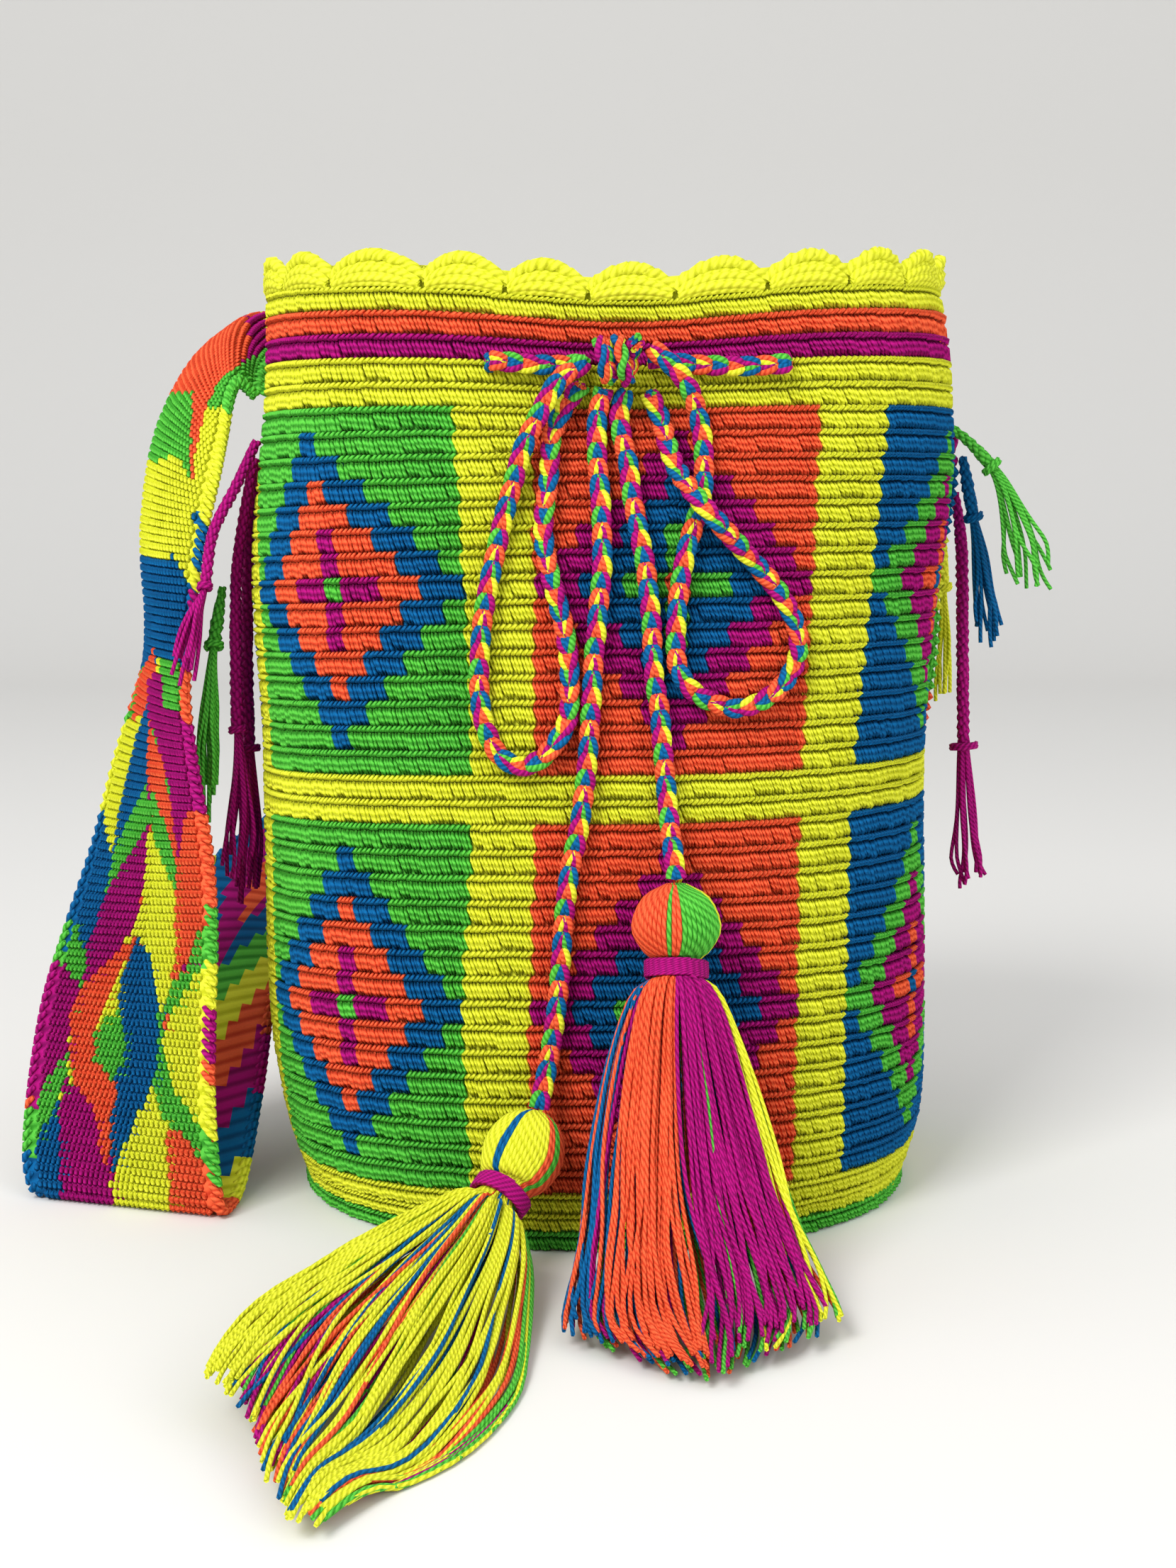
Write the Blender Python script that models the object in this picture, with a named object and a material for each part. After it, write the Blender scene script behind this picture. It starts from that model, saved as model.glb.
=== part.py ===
"""A crocheted bucket bag with a woven strap, a braided drawstring tied in a bow, and two tassels.

The origin is the centre of the flat underside of the base, on the floor. +Z is up and the bow faces -Y.
Lengths are in millimetres until a mesh or a curve is made, which is in metres.
"""

import math

import bmesh
import bpy
from mathutils import Vector

MM = 0.001

# The wall
WALL = 3.6  # thickness of the crocheted cloth
RIDGE = 0.9  # how far the chain at the top of a row stands out over the row's foot
FOOT = 0.9  # how much of a row's height its face takes
SQUARENESS = 2.19  # exponent of the wall's oval: 2 is an ellipse
# Height, then the oval's middle, half width and half depth there
OUTLINE = (
    (0, 5, 88, 87),
    (4, 5.1, 93.6, 90.5),
    (12, 5.6, 96.4, 91.3),
    (25, 5.2, 100.2, 90.6),
    (58, 3, 103.2, 88),
    (120, 1.8, 103.2, 83),
    (150, 2, 103.7, 80),
    (175, 2, 105.6, 77.5),
    (200, 3.4, 107.4, 75),
    (225, 5.8, 107.3, 72),
    (240, 6.3, 106, 70),
    (255, 6.2, 105, 68),
    (270, 5, 103.7, 66),
    (284, 3.8, 100.4, 64),
)
# Row, then the height of the row's top at the left side, the front and the right side
LEVELS = (
    (1, 275.4, 273, 277),
    (4, 254.3, 253, 255.5),
    (6, 239.6, 239.4, 241),
    (13, 188.5, 192, 193.7),
    (21, 131.5, 135.4, 136.6),
    (23, 117.6, 121.6, 123.6),
    (30, 66, 72, 70.5),
    (38, 12.5, 17, 17),
    (40, 4, 6, 5),
)
BASE_HEIGHT = 3.6  # thickness of the crocheted disc under the bag
LINING_ROWS = (1, 4, 9, 16, 24, 32, 38)  # rows at which the plain inside has a ring
FLOOR_RING = 8.0  # height whose oval the edge of the inside's floor follows
PINCH_X = 10.0  # where the drawn cord gathers the front
PINCH_REACH = 42.0
PINCH_HEIGHT = 34.0
PINCH_ROWS = 9.0  # rows down from the mouth over which it drops
PINCH_DROP = 4.6
PINCH_DENT = 6.0
SCALLOPS = 24
SCALLOP_RISE = 10.6  # from the top of the first row to the top of a shell
SCALLOP_DIP = 3.4
SCALLOP_BELLY = 1.6

# The pattern, in steps of two stitches
STEPS = 96
REPEAT = 16
STRIPE = 3
PLAIN_STEP = 2  # longest run of steps that one face of a plain stretch spans
ROWS = 40
# Row, then where on the front the pattern's edges lie: step and X
CROSSINGS = (
    (6, ((-6.5, -84.4), (0, -38.4), (3, -16.2), (16, 66.6), (19, 87.4), (25.5, 109.4))),
    (13, ((-6.5, -74.8), (0, -35.4), (3, -15.3), (16, 64.6), (19, 83), (25.5, 107.2))),
    (22, ((-6.5, -71.4), (0, -33), (3, -14.8), (16, 61), (19, 77), (25.5, 99.6))),
    (30, ((-6.5, -70.8), (0, -36), (3, -16.6), (16, 60.2), (19, 75.4), (25.5, 98.8))),
    (38, ((-6.5, -70), (0, -33.4), (3, -17), (16, 59.2), (19, 74.6), (25.5, 97))),
)
RING, INNER, CROSS, CENTRE = "ring", "inner", "cross", "centre"
# Half rows of the diamond from its tip to its middle, from the middle outwards
DIAMOND = (
    (RING,),
    (RING, RING),
    (INNER, RING, RING),
    (INNER, INNER, RING, RING),
    (CROSS, INNER, INNER, RING, RING),
    (CROSS, INNER, INNER, INNER, RING, RING),
    (CENTRE, CROSS, CROSS, INNER, INNER, RING, RING),
)
TIER_ROWS = 15
PANELS = (
    {"ground": "green", RING: "blue", INNER: "orange", CROSS: "magenta", CENTRE: "green"},
    {"ground": "orange", RING: "magenta", INNER: "blue", CROSS: "green", CENTRE: "orange"},
    {"ground": "blue", RING: "green", INNER: "magenta", CROSS: "orange", CENTRE: "blue"},
)
BANDS = {1: "yellow", 2: "orange", 3: "magenta", 4: "yellow", 5: "yellow", 21: "yellow",
         22: "yellow", 38: "yellow", 39: "yellow", 40: "green"}
# First row of each tier of panels
TIERS = tuple(row for row in range(1, ROWS) if row not in BANDS and row - 1 in BANDS)

# Cords
CORD = 5.4  # diameter of the braided drawstring
GAP = 0.35  # between pieces that touch
CORD_SIDES = 2  # bevel resolution
CORD_STEP = 2.6  # length of one stretch of tube, in diameters
FINE = 16  # stretches between two points of a route when its length is measured
KNOT = (8.5, 251.0)  # X and Z of the bow's knot
KNOT_HALF = (7.4, 6.0, 6.4)
# Routes over the front of the wall: X, Z and how far the cord is lifted off the wall
LACE_LEFT = ((-27, 251.4, 0), (-20, 250.8, 0), (-10, 250.2, 0), (0, 250.6, 0))
LACE_RIGHT = ((17.4, 252, 0), (24, 251, 0), (34, 250.2, 0), (45, 250, 0), (56, 250.8, 0))
LOOP_LEFT = (
    (-0.6, 250.6, 6.6), (-7.6, 246, 6.4), (-12.6, 238.2, 6.2), (-18, 227, 3.6), (-21.5, 215.2, 1),
    (-24.5, 204, 0), (-27.3, 191.2, 0), (-29.3, 181, 0), (-30.3, 170.6, 0), (-30.6, 161, 0),
    (-29.4, 151, 0), (-25.8, 142.4, 0), (-19.8, 138.3, 0), (-13.8, 139.9, 0), (-8.8, 145.1, 0),
    (-5.6, 151.4, 0), (-5, 158.6, 0), (-5.2, 167, 0), (-6.6, 177, 0), (-9, 186.1, 0),
    (-11.2, 194.7, 0), (-12.4, 203.2, 0), (-12, 210.1, 0), (-11, 217, 0), (-10.6, 224, 0),
    (-9.8, 231, 0), (-6.4, 238.6, 0), (-1.6, 244.6, 0),
)
LOOP_RIGHT = (
    (17.8, 254.6, 6.6), (23, 250, 6.8), (28, 244, 4.6), (30.6, 237.3, 1.6), (32, 230.6, 0),
    (32.6, 222, 0), (32, 213.5, 0), (30.1, 206.6, 0), (27.5, 198.1, 0), (25.9, 189.6, 0),
    (24.9, 181, 0), (24.5, 172.5, 0), (25.3, 165.5, 0), (28.7, 159.8, 0), (34.5, 156.2, 0),
    (41.6, 154.2, 0), (48.5, 155.9, 0), (54.7, 160.2, 0), (58.9, 166.8, 0), (59.6, 173.8, 0),
    (57.4, 180.6, 0), (53, 187.7, 0), (46.8, 194.7, 0.6), (40.5, 201.4, 3.6), (34.9, 207.4, 6.4),
    (29.6, 213.6, 6.2), (25, 220.3, 3), (22.3, 227.6, 0.6), (20.4, 234.9, 0), (17.2, 242.4, 0.6),
)
TAIL_LEFT = (
    (4.4, 243.2, 1.4), (2.6, 235, 0.4), (2.6, 224.4, 0), (3.4, 214, 0), (3.9, 204, 0),
    (3.9, 193, 0), (2.8, 181, 0), (1.6, 168, 0), (0.9, 156, 0), (0.1, 143.6, 0), (-1.1, 131, 0),
    (-2.8, 119.6, 0), (-5.1, 109.4, 0), (-6.5, 98, 0), (-7.4, 87, 0), (-8.2, 76, 0),
    (-9.6, 65, 0), (-11, 56, 1), (-12.6, 49, 4.6), (-13.6, 44.6, 8.2),
)
TAIL_RIGHT = (
    (10.6, 242.6, 0.6), (8.8, 236.6, 0), (9.6, 229.5, 0), (11.4, 222, 0), (12.2, 214, 0),
    (13.9, 205, 0), (15.5, 197, 0), (16.7, 188.6, 0), (17.6, 180, 0), (18, 171, 0), (18.6, 162, 0),
    (20.1, 153, 0), (20.8, 143.6, 0), (21.8, 133, 0), (22.8, 121.1, 3), (23.7, 114, 8.4), (24.2, 108.4, 11.8),
)
LACE_ENDS = (-30.0, 59.0)  # X where the drawstring goes through the wall
LACE_HEIGHT = 250.6

# Tassels: middle of the section, half width across it, half thickness
TASSEL_LEFT = (
    ((-13.8, -101.2, 43.2), 3.4, 3.4),
    ((-15, -102.6, 40), 8.6, 8.6),
    ((-17.6, -104.4, 33.6), 11.2, 10.6),
    ((-20.8, -107.2, 27.4), 9.6, 9.4),
    ((-22.4, -109.4, 24.6), 6.4, 6.2),
    ((-25.6, -113.4, 21.2), 6.4, 6.2),
    ((-28.6, -118.6, 17.8), 13, 9.6),
    ((-34, -133, 13.4), 21, 9.8),
    ((-42, -158, 9.8), 29, 8.6),
    ((-50, -190, 7.4), 35, 6.6),
    ((-57, -222, 5.6), 32, 5),
    ((-63, -246, 4.6), 22, 3.8),
    ((-61, -268, 3.8), 11, 3),
)
TASSEL_RIGHT = (
    ((24.2, -101.4, 107.4), 3.4, 3.4),
    ((24.2, -101.6, 103.6), 9.4, 9.2),
    ((24.2, -102, 96), 12.3, 12),
    ((24.2, -102.4, 90), 9.6, 9.4),
    ((24.2, -103, 87), 6.8, 6.6),
    ((24.2, -104.6, 82), 6.8, 6.6),
    ((24.3, -106.4, 77.4), 13.4, 9.6),
    ((24.8, -111.5, 60), 20, 10.4),
    ((26, -119, 38), 26, 10.8),
    ((27.4, -130, 20), 30, 10.6),
    ((28.6, -148, 9.6), 34, 7.6),
    ((29.2, -170, 5.2), 34, 4.6),
    ((29.8, -194, 3.8), 20, 3),
)
TASSEL_SIDES = 20
BINDING = 2.2  # half width of the yarn wound round a tassel's neck
BINDING_SIDES = 8
LEFT_NECK = (4, 5)  # sections that the binding sits between
RIGHT_NECK = (4, 5)

# The strap: one edge, the middle and the other edge of each section of its route
STRAP = 2.8
STRAP_ACROSS = 6
SEAM_EASE = 0.9  # the strap is straighter than the wall that it is sewn to
STRAP_EVERY = 3  # stretches between two sections of the list
STRAP_SEAM_LEFT = ((42, 264), (18, 257), (-7, 245))  # Y and Z of the seam on the wall's side
STRAP_SEAM_RIGHT = ((52, 244), (34, 241), (14, 234))
STRAP_ROUTE = (
    ((-98, 41, 273), (-109, 19, 268), (-107.5, -9, 249)),
    ((-113, 34, 269), (-116.5, 12, 262), (-110, -12, 244)),
    ((-124, 22, 256), (-125, 3, 250), (-111.5, -15, 233)),
    ((-131.5, 10, 234), (-132, -6, 232), (-113, -20, 222)),
    ((-134, 2, 212), (-135, -13, 210), (-116, -25, 206)),
    ((-133, -3, 196), (-135, -18, 194), (-118, -28, 192)),
    ((-133.5, -3, 179), (-134, -19, 178), (-119.5, -30, 176)),
    ((-140.3, 0, 158.8), (-134, -20, 157), (-121.2, -35, 154.7)),
    ((-149.5, 0, 131.7), (-136, -21, 131.5), (-118, -40, 131.6)),
    ((-156.3, -4, 105.1), (-136, -25.5, 106), (-113.6, -45, 108.4)),
    ((-165, -8, 78.5), (-139, -28.5, 81), (-112.2, -48, 84)),
    ((-171.5, -12, 56.5), (-142, -32, 58), (-112.6, -52, 60)),
    ((-174.4, -22, 30.7), (-143.5, -40, 32), (-112.4, -57, 34)),
    ((-174, -32, 11), (-142.5, -46.5, 11.5), (-110.6, -60, 12)),
    ((-170, -40, 2.5), (-139.5, -50, 2.5), (-109, -60, 2.5)),
    ((-167, -29, 2.4), (-137, -38, 2.4), (-107, -47, 2.4)),
    ((-164, -18, 9), (-135, -26, 9.5), (-105.5, -34, 10)),
    ((-158, 2, 30), (-131.5, -5, 30), (-104, -12, 30)),
    ((-148, 28, 60), (-126, 22, 57), (-102.5, 14, 54)),
    ((-128, 62, 92), (-111, 59, 81), (-93, 50, 70)),
    ((-96, 94, 108), (-87, 91, 83), (-76, 83, 58)),
    ((-52, 108, 100), (-50, 109, 69), (-48, 105, 38)),
    ((0, 112, 86), (0, 113, 55), (0, 111, 24)),
    ((50, 107, 104), (53, 108, 74), (56, 103, 44)),
    ((80, 88, 140), (91, 84, 115), (99, 75, 90)),
    ((88, 68, 180), (104, 58, 161), (113, 42, 142)),
    ((84, 64, 214), (105, 47, 203), (114.6, 25, 192)),
    ((89, 54, 236), (109, 36, 230), (117, 16, 220)),
)

# Ends of the strap's yarn below its seams: route, half thickness at each point, and name
FRINGES = (
    ("strap_end_left_front", "magenta",
     ((-102.3, -10, 231), (-107.4, -17, 218), (-113.4, -27, 203), (-115, -34, 187), (-117.5, -39, 178),
      (-122, -44, 158)), (1.8, 2, 2, 2, 4.5, 5.5)),
    ("strap_end_left_middle", "magenta",
     ((-104.2, -3, 226), (-107.2, -4, 210), (-110, -6, 188), (-110, -9, 150), (-109, -11, 120),
      (-110.6, -12, 92)), (1.8, 2, 2.2, 2.4, 5, 6)),
    ("strap_end_left_rear", "magenta",
     ((-103.7, 10, 226), (-108.2, 10, 200), (-109.6, 10, 160), (-109, 8, 125), (-110, 6, 84)),
     (1.6, 2.6, 3.2, 4.4, 5)),
    ("strap_end_left_green", "green",
     ((-114.6, -4, 186), (-116, -16, 166), (-116.6, -20, 150), (-117.4, -21, 136), (-118, -20, 114)),
     (1.4, 3.4, 5, 5.4, 3)),
    ("strap_end_right_green", "green",
     ((114, 9, 237), (122.4, 8, 230), (131, 7, 219), (138, 6, 200), (142, 5, 184)),
     (1.6, 2, 5, 7.5, 8)),
    ("strap_end_right_blue", "blue",
     ((119.7, 14, 227), (123.4, 18, 212), (127, 20, 196), (129, 20, 180), (130, 20, 166)),
     (1.6, 3, 5, 6, 6)),
    ("strap_end_right_magenta", "magenta",
     ((119.1, 24, 216), (122.6, 30, 198), (125, 38, 164), (126, 38, 132), (128, 37, 100), (130, 36, 84)),
     (1.6, 3, 4.4, 6, 6.4, 6)),
    ("strap_end_right_yellow", "yellow",
     ((115.7, 33, 206), (118.6, 43, 190), (120.6, 49, 168), (120.6, 53, 146)), (1.6, 3, 3.6, 3.6)),
)
FRINGE_SIDES = 8

YARN = {
    "yellow": (0.60, 0.72, 0.03),
    "orange": (0.94, 0.13, 0.04),
    "magenta": (0.38, 0.01, 0.24),
    "blue": (0.01, 0.10, 0.30),
    "green": (0.08, 0.42, 0.05),
    "braid": (0.35, 0.30, 0.20),
}


# Shapes of the bag


def smooth(table, at, column):
    """A column of a table at a place between its rows, on a smooth curve through them.

    Args:
        table: rows whose first value rises.
        at: the first value at which the column is wanted.
        column: which value of a row is read.
    """
    at = min(max(at, table[0][0]), table[-1][0])
    i = max(k for k in range(len(table) - 1) if table[k][0] <= at)
    span = table[i + 1][0] - table[i][0]
    t = (at - table[i][0]) / span

    def slope(k):
        low, high = max(k - 1, 0), min(k + 1, len(table) - 1)
        return (table[high][column] - table[low][column]) / (table[high][0] - table[low][0])

    rise = table[i + 1][column] - table[i][column]
    return (table[i][column] + t * rise
            + t * (1 - t) * ((1 - t) * (slope(i) * span - rise) - t * (slope(i + 1) * span - rise)))


def oval(height):
    """The middle, half width and half depth of the wall at a height."""
    return tuple(smooth(OUTLINE, height, column) for column in (1, 2, 3))


def pinch(x, height):
    """How strongly the drawn cord gathers the front at a place, from 0 to 1."""
    return math.exp(-(((x - PINCH_X) / PINCH_REACH) ** 2) - ((height - LACE_HEIGHT) / PINCH_HEIGHT) ** 2)


def wall_point(along, height, inset=0.0):
    """A point of the wall's oval at an angle from the front, drawn in by an inset."""
    middle, half_width, half_depth = oval(height)
    side, front = math.sin(along), math.cos(along)
    x = middle + (half_width - inset) * math.copysign(abs(side) ** (2 / SQUARENESS), side)
    y = -(half_depth - inset) * math.copysign(abs(front) ** (2 / SQUARENESS), front)
    if front > 0:
        y += PINCH_DENT * pinch(x, height)
    return x, y


def front_of(x, height):
    """The Y of the front of the wall."""
    middle, half_width, half_depth = oval(height)
    across = min(abs(x - middle) / half_width, 1.0)
    y = -half_depth * (1 - across ** SQUARENESS) ** (1 / SQUARENESS)
    return y + PINCH_DENT * pinch(x, height)


class Round:
    """The wall's oval at one height, measured along its edge from the middle of the front."""

    SAMPLES = 720

    def __init__(self, height):
        self.height = height
        self.angles = [2 * math.pi * i / self.SAMPLES for i in range(self.SAMPLES + 1)]
        points = [wall_point(a, height) for a in self.angles]
        self.lengths = [0.0]
        for a, b in zip(points, points[1:]):
            self.lengths.append(self.lengths[-1] + math.dist(a, b))
        self.total = self.lengths[-1]
        self.front = [(p[0], s) for p, s in zip(points, self.lengths) if p[1] < 0]

    def angle_at(self, length):
        """The oval's angle at a length along its edge."""
        length %= self.total
        low, high = 0, self.SAMPLES
        while high - low > 1:
            half = (low + high) // 2
            if self.lengths[half] <= length:
                low = half
            else:
                high = half
        t = (length - self.lengths[low]) / (self.lengths[high] - self.lengths[low])
        return self.angles[low] + t * (self.angles[high] - self.angles[low])

    def length_at(self, x):
        """The signed length from the middle to the place on the front at an X."""
        length = min(self.front, key=lambda p: abs(p[0] - x))[1]
        return length if length < self.total / 2 else length - self.total


def row_top(row, x, y, height):
    """The height of a row's top at a place on the wall, from its height at the front."""
    left, front, right = (smooth(LEVELS, row, column) for column in (1, 2, 3))
    middle, half_width, _depth = oval(height)
    across = max(-1.0, min(1.0, (x - middle) / half_width))
    side = right if across > 0 else left
    centre = front if y < 0 else (left + right) / 2
    here = centre + (side - centre) * across * across
    gather = math.exp(-(((x - PINCH_X) / PINCH_REACH) ** 2)) * max(0.0, 1 - row / PINCH_ROWS)
    return here - (PINCH_DROP * gather if y < 0 else 0.0)


class Course:
    """One level of the wall, on which a step of the pattern has its place."""

    def __init__(self, row):
        self.row = row
        self.height = smooth(LEVELS, row, 2)
        self.round = Round(self.height)
        steps = [entry[0] for entry in CROSSINGS[0][1]]
        self.marks = []
        for k, step in enumerate(steps):
            table = [(level, marks[k][1]) for level, marks in CROSSINGS]
            self.marks.append((step, self.round.length_at(smooth(table, row, 1))))
        self.marks.append((steps[0] + STEPS, self.marks[0][1] + self.round.total))

    def place(self, step, inset=0.0):
        """The point of the wall at a step of the pattern on this level."""
        step = (step - self.marks[0][0]) % STEPS + self.marks[0][0]
        i = max(k for k in range(len(self.marks) - 1) if self.marks[k][0] <= step)
        (s0, l0), (s1, l1) = self.marks[i], self.marks[i + 1]
        angle = self.round.angle_at(l0 + (step - s0) / (s1 - s0) * (l1 - l0))
        x, y = wall_point(angle, self.height, inset)
        return Vector((x, y, row_top(self.row, x, y, self.height)))


def colour_of(row, step):
    """The colour of the yarn at a row and a step."""
    tier = next((first for first in TIERS if first <= row < first + TIER_ROWS), None)
    if tier is None:
        return BANDS[row]
    place = math.floor(step) % REPEAT
    if place < STRIPE:
        return "yellow"
    panel = PANELS[(math.floor(step) // REPEAT + 1) % len(PANELS)]
    from_middle = math.floor(abs(place - STRIPE - (REPEAT - STRIPE) // 2))
    from_tip = math.floor(min(row - tier, tier + TIER_ROWS - 1 - row)) - 1
    if 0 <= from_tip < len(DIAMOND) and from_middle < len(DIAMOND[from_tip]):
        return panel[DIAMOND[from_tip][from_middle]]
    return panel["ground"]


def corners_of(row):
    """The steps at which a row has corners: where its colour changes, and between those."""
    edges = [s for s in range(STEPS) if colour_of(row, s) != colour_of(row, s - 1)] or [0]
    corners = []
    for a, b in zip(edges, edges[1:] + [edges[0] + STEPS]):
        parts = math.ceil((b - a) / PLAIN_STEP)
        corners += [a + (b - a) * k / parts for k in range(parts)]
    return corners


# Meshes


def material(colour, roughness=0.85):
    """A yarn's material, made once for each colour."""
    found = bpy.data.materials.get(colour)
    if found:
        return found
    made = bpy.data.materials.new(colour)
    made.use_nodes = True
    shader = made.node_tree.nodes["Principled BSDF"]
    shader.inputs["Base Color"].default_value = (*YARN[colour], 1)
    shader.inputs["Roughness"].default_value = roughness
    made.diffuse_color = (*YARN[colour], 1)
    return made


def show(name, mesh, colours):
    """Put a finished bmesh in the scene as an object with its materials."""
    data = bpy.data.meshes.new(name)
    mesh.to_mesh(data)
    mesh.free()
    for colour in colours:
        data.materials.append(material(colour))
    data.shade_smooth()
    thing = bpy.data.objects.new(name, data)
    bpy.context.collection.objects.link(thing)
    return thing


def ring(mesh, points):
    """Vertices at points given in millimetres."""
    return [mesh.verts.new(Vector(p) * MM) for p in points]


def zip_rings(mesh, upper, upper_at, lower, lower_at, slot=0):
    """Join two closed rings whose corners don't match, from upper to lower, facing outwards."""
    i = j = 0
    n, m = len(upper), len(lower)
    upper_at = upper_at + [upper_at[0] + STEPS]
    lower_at = lower_at + [lower_at[0] + STEPS]
    while i < n or j < m:
        a, b = upper[i % n], lower[j % m]
        if j >= m or (i < n and upper_at[i + 1] <= lower_at[j + 1]):
            face = mesh.faces.new((a, b, upper[(i + 1) % n]))
            i += 1
        else:
            face = mesh.faces.new((a, b, lower[(j + 1) % m]))
            j += 1
        face.material_index = slot


def shell_rise(step, course):
    """How high the scalloped edge stands over the first row at a step, and how far it bellies."""
    place = course.place(step)
    length = course.round.length_at(place.x)
    if place.y > 0:
        length = course.round.total / 2 - length
    wave = abs(math.sin(math.pi * SCALLOPS * length / course.round.total))
    return SCALLOP_RISE - SCALLOP_DIP + SCALLOP_DIP * wave, SCALLOP_BELLY * wave


def build_wall(mesh, colours):
    """The outside of the bag, from the scalloped edge down to the foot of the last row."""
    slot = {colour: k for k, colour in enumerate(colours)}
    first = Course(1)
    around = [float(s) for s in range(STEPS)]
    edge, belly = [], []
    for s in around:
        rise, out = shell_rise(s, first)
        edge.append(first.place(s, WALL / 2) + Vector((0, 0, rise)))
        belly.append(first.place(s, -out) + Vector((0, 0, rise / 2)))
    top = ring(mesh, edge)
    above, above_at = ring(mesh, belly), around
    zip_rings(mesh, top, around, above, around, slot["yellow"])
    for row in range(1, ROWS + 1):
        corners = corners_of(row)
        high, low = Course(row), Course(row + FOOT)
        upper = ring(mesh, [high.place(s, -RIDGE) for s in corners])
        lower = ring(mesh, [low.place(s) for s in corners])
        zip_rings(mesh, above, above_at, upper, corners, slot[BANDS.get(row, "green")])
        for k, step in enumerate(corners):
            after = (k + 1) % len(corners)
            face = mesh.faces.new((upper[k], lower[k], lower[after], upper[after]))
            face.material_index = slot[colour_of(row, step)]
        above, above_at = lower, corners
    return top, above, above_at


def build_bag():
    """The crocheted bag: one cloth with a flat base, an open mouth and a scalloped edge."""
    mesh = bmesh.new()
    colours = ("yellow", "orange", "magenta", "blue", "green")
    top, foot, foot_at = build_wall(mesh, colours)
    coarse = [2.0 * k for k in range(STEPS // 2)]
    base = Course(ROWS + 1)
    under = ring(mesh, [Vector((*wall_point(base.round.angle_at(base.round.total * s / STEPS), 0), 0))
                        for s in coarse])
    start = -base.round.length_at(base.place(0).x) * STEPS / base.round.total
    zip_rings(mesh, foot, foot_at, *turned(under, coarse, start), colours.index("green"))
    mesh.faces.new(list(reversed(under)))
    above, above_at = top, [float(s) for s in range(STEPS)]
    for row in LINING_ROWS:
        course = Course(row)
        inside = ring(mesh, [course.place(s, WALL) for s in coarse])
        zip_inwards(mesh, above, above_at, inside, coarse)
        above, above_at = inside, coarse
    floor = ring(mesh, [Vector((*wall_point(2 * math.pi * s / STEPS, FLOOR_RING, 2 * WALL), BASE_HEIGHT))
                        for s in coarse])
    zip_inwards(mesh, above, above_at, *turned(floor, coarse, start))
    mesh.faces.new(floor)
    mesh.normal_update()
    bmesh.ops.recalc_face_normals(mesh, faces=mesh.faces)
    return show("bag_body", mesh, colours)


def turned(verts, at, start):
    """A ring whose corners are counted from the front, with its places shifted to a first step."""
    moved = sorted(((a + start) % STEPS, k) for k, a in enumerate(at))
    return [verts[k] for _a, k in moved], [a for a, _k in moved]


def zip_inwards(mesh, upper, upper_at, lower, lower_at):
    """Join two rings of the inside, whose faces look the other way."""
    before = set(mesh.faces)
    zip_rings(mesh, upper, upper_at, lower, lower_at)
    bmesh.ops.reverse_faces(mesh, faces=[f for f in mesh.faces if f not in before])


# Cords and lofts


def smooth_line(points, parts):
    """A smooth curve through points, with the same number of stretches between each two."""
    points = [Vector(p) for p in points]
    padded = [2 * points[0] - points[1], *points, 2 * points[-1] - points[-2]]
    line = []
    for a, b, c, d in zip(padded, padded[1:], padded[2:], padded[3:]):
        for k in range(parts):
            t = k / parts
            line.append(0.5 * (2 * b + (c - a) * t + (2 * a - 5 * b + 4 * c - d) * t * t
                               + (3 * b - a - 3 * c + d) * t ** 3))
    return [*line, points[-1]]


def spline_through(points, step):
    """Points a step apart on a smooth curve through the route's own points."""
    fine = smooth_line(points, FINE)
    lengths = [0.0]
    for a, b in zip(fine, fine[1:]):
        lengths.append(lengths[-1] + (b - a).length)
    count = max(2, round(lengths[-1] / step))
    spaced, i = [], 0
    for k in range(count + 1):
        want = lengths[-1] * k / count
        while i < len(lengths) - 2 and lengths[i + 1] < want:
            i += 1
        t = (want - lengths[i]) / (lengths[i + 1] - lengths[i])
        spaced.append(fine[i].lerp(fine[i + 1], min(t, 1.0)))
    return spaced


def build_cord(name, points):
    """A tube of the drawstring's thickness through a route's points."""
    curve = bpy.data.curves.new(name, "CURVE")
    curve.dimensions = "3D"
    curve.bevel_depth = CORD / 2 * MM
    curve.bevel_resolution = CORD_SIDES
    curve.use_fill_caps = True
    points = spline_through(points, CORD_STEP * CORD)
    line = curve.splines.new("POLY")
    line.points.add(len(points) - 1)
    for target, p in zip(line.points, points):
        target.co = (*(p * MM), 1)
    curve.materials.append(material("braid"))
    thing = bpy.data.objects.new(name, curve)
    bpy.context.collection.objects.link(thing)
    return thing


def over_front(route):
    """The middle of a cord that lies on the front of the wall along X, Z and a lift."""
    off = CORD / 2 + GAP + RIDGE
    return [(x, front_of(x, z) - off - lift, z) for x, z, lift in route]


def build_lace_inside():
    """The stretch of the drawstring that runs round the inside of the mouth, past the back."""
    height = LACE_HEIGHT
    course = Round(height)
    start, end = (course.length_at(x) for x in LACE_ENDS)
    count = 44
    inset = WALL + GAP + CORD / 2 + RIDGE
    run = course.total - (end - start)
    points = []
    for k in range(count + 1):
        x, y = wall_point(course.angle_at(end + run * k / count), height, inset)
        points.append((x, y, height))
    return build_cord("drawstring_inside", points)


def loft(name, colour, sections):
    """A closed solid through rings of points."""
    mesh = bmesh.new()
    rings = [ring(mesh, s) for s in sections]
    n = len(rings[0])
    for a, b in zip(rings, rings[1:]):
        for k in range(n):
            mesh.faces.new((a[k], a[(k + 1) % n], b[(k + 1) % n], b[k]))
    mesh.faces.new(list(reversed(rings[0])))
    mesh.faces.new(rings[-1])
    bmesh.ops.recalc_face_normals(mesh, faces=mesh.faces)
    return show(name, mesh, (colour,))


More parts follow.
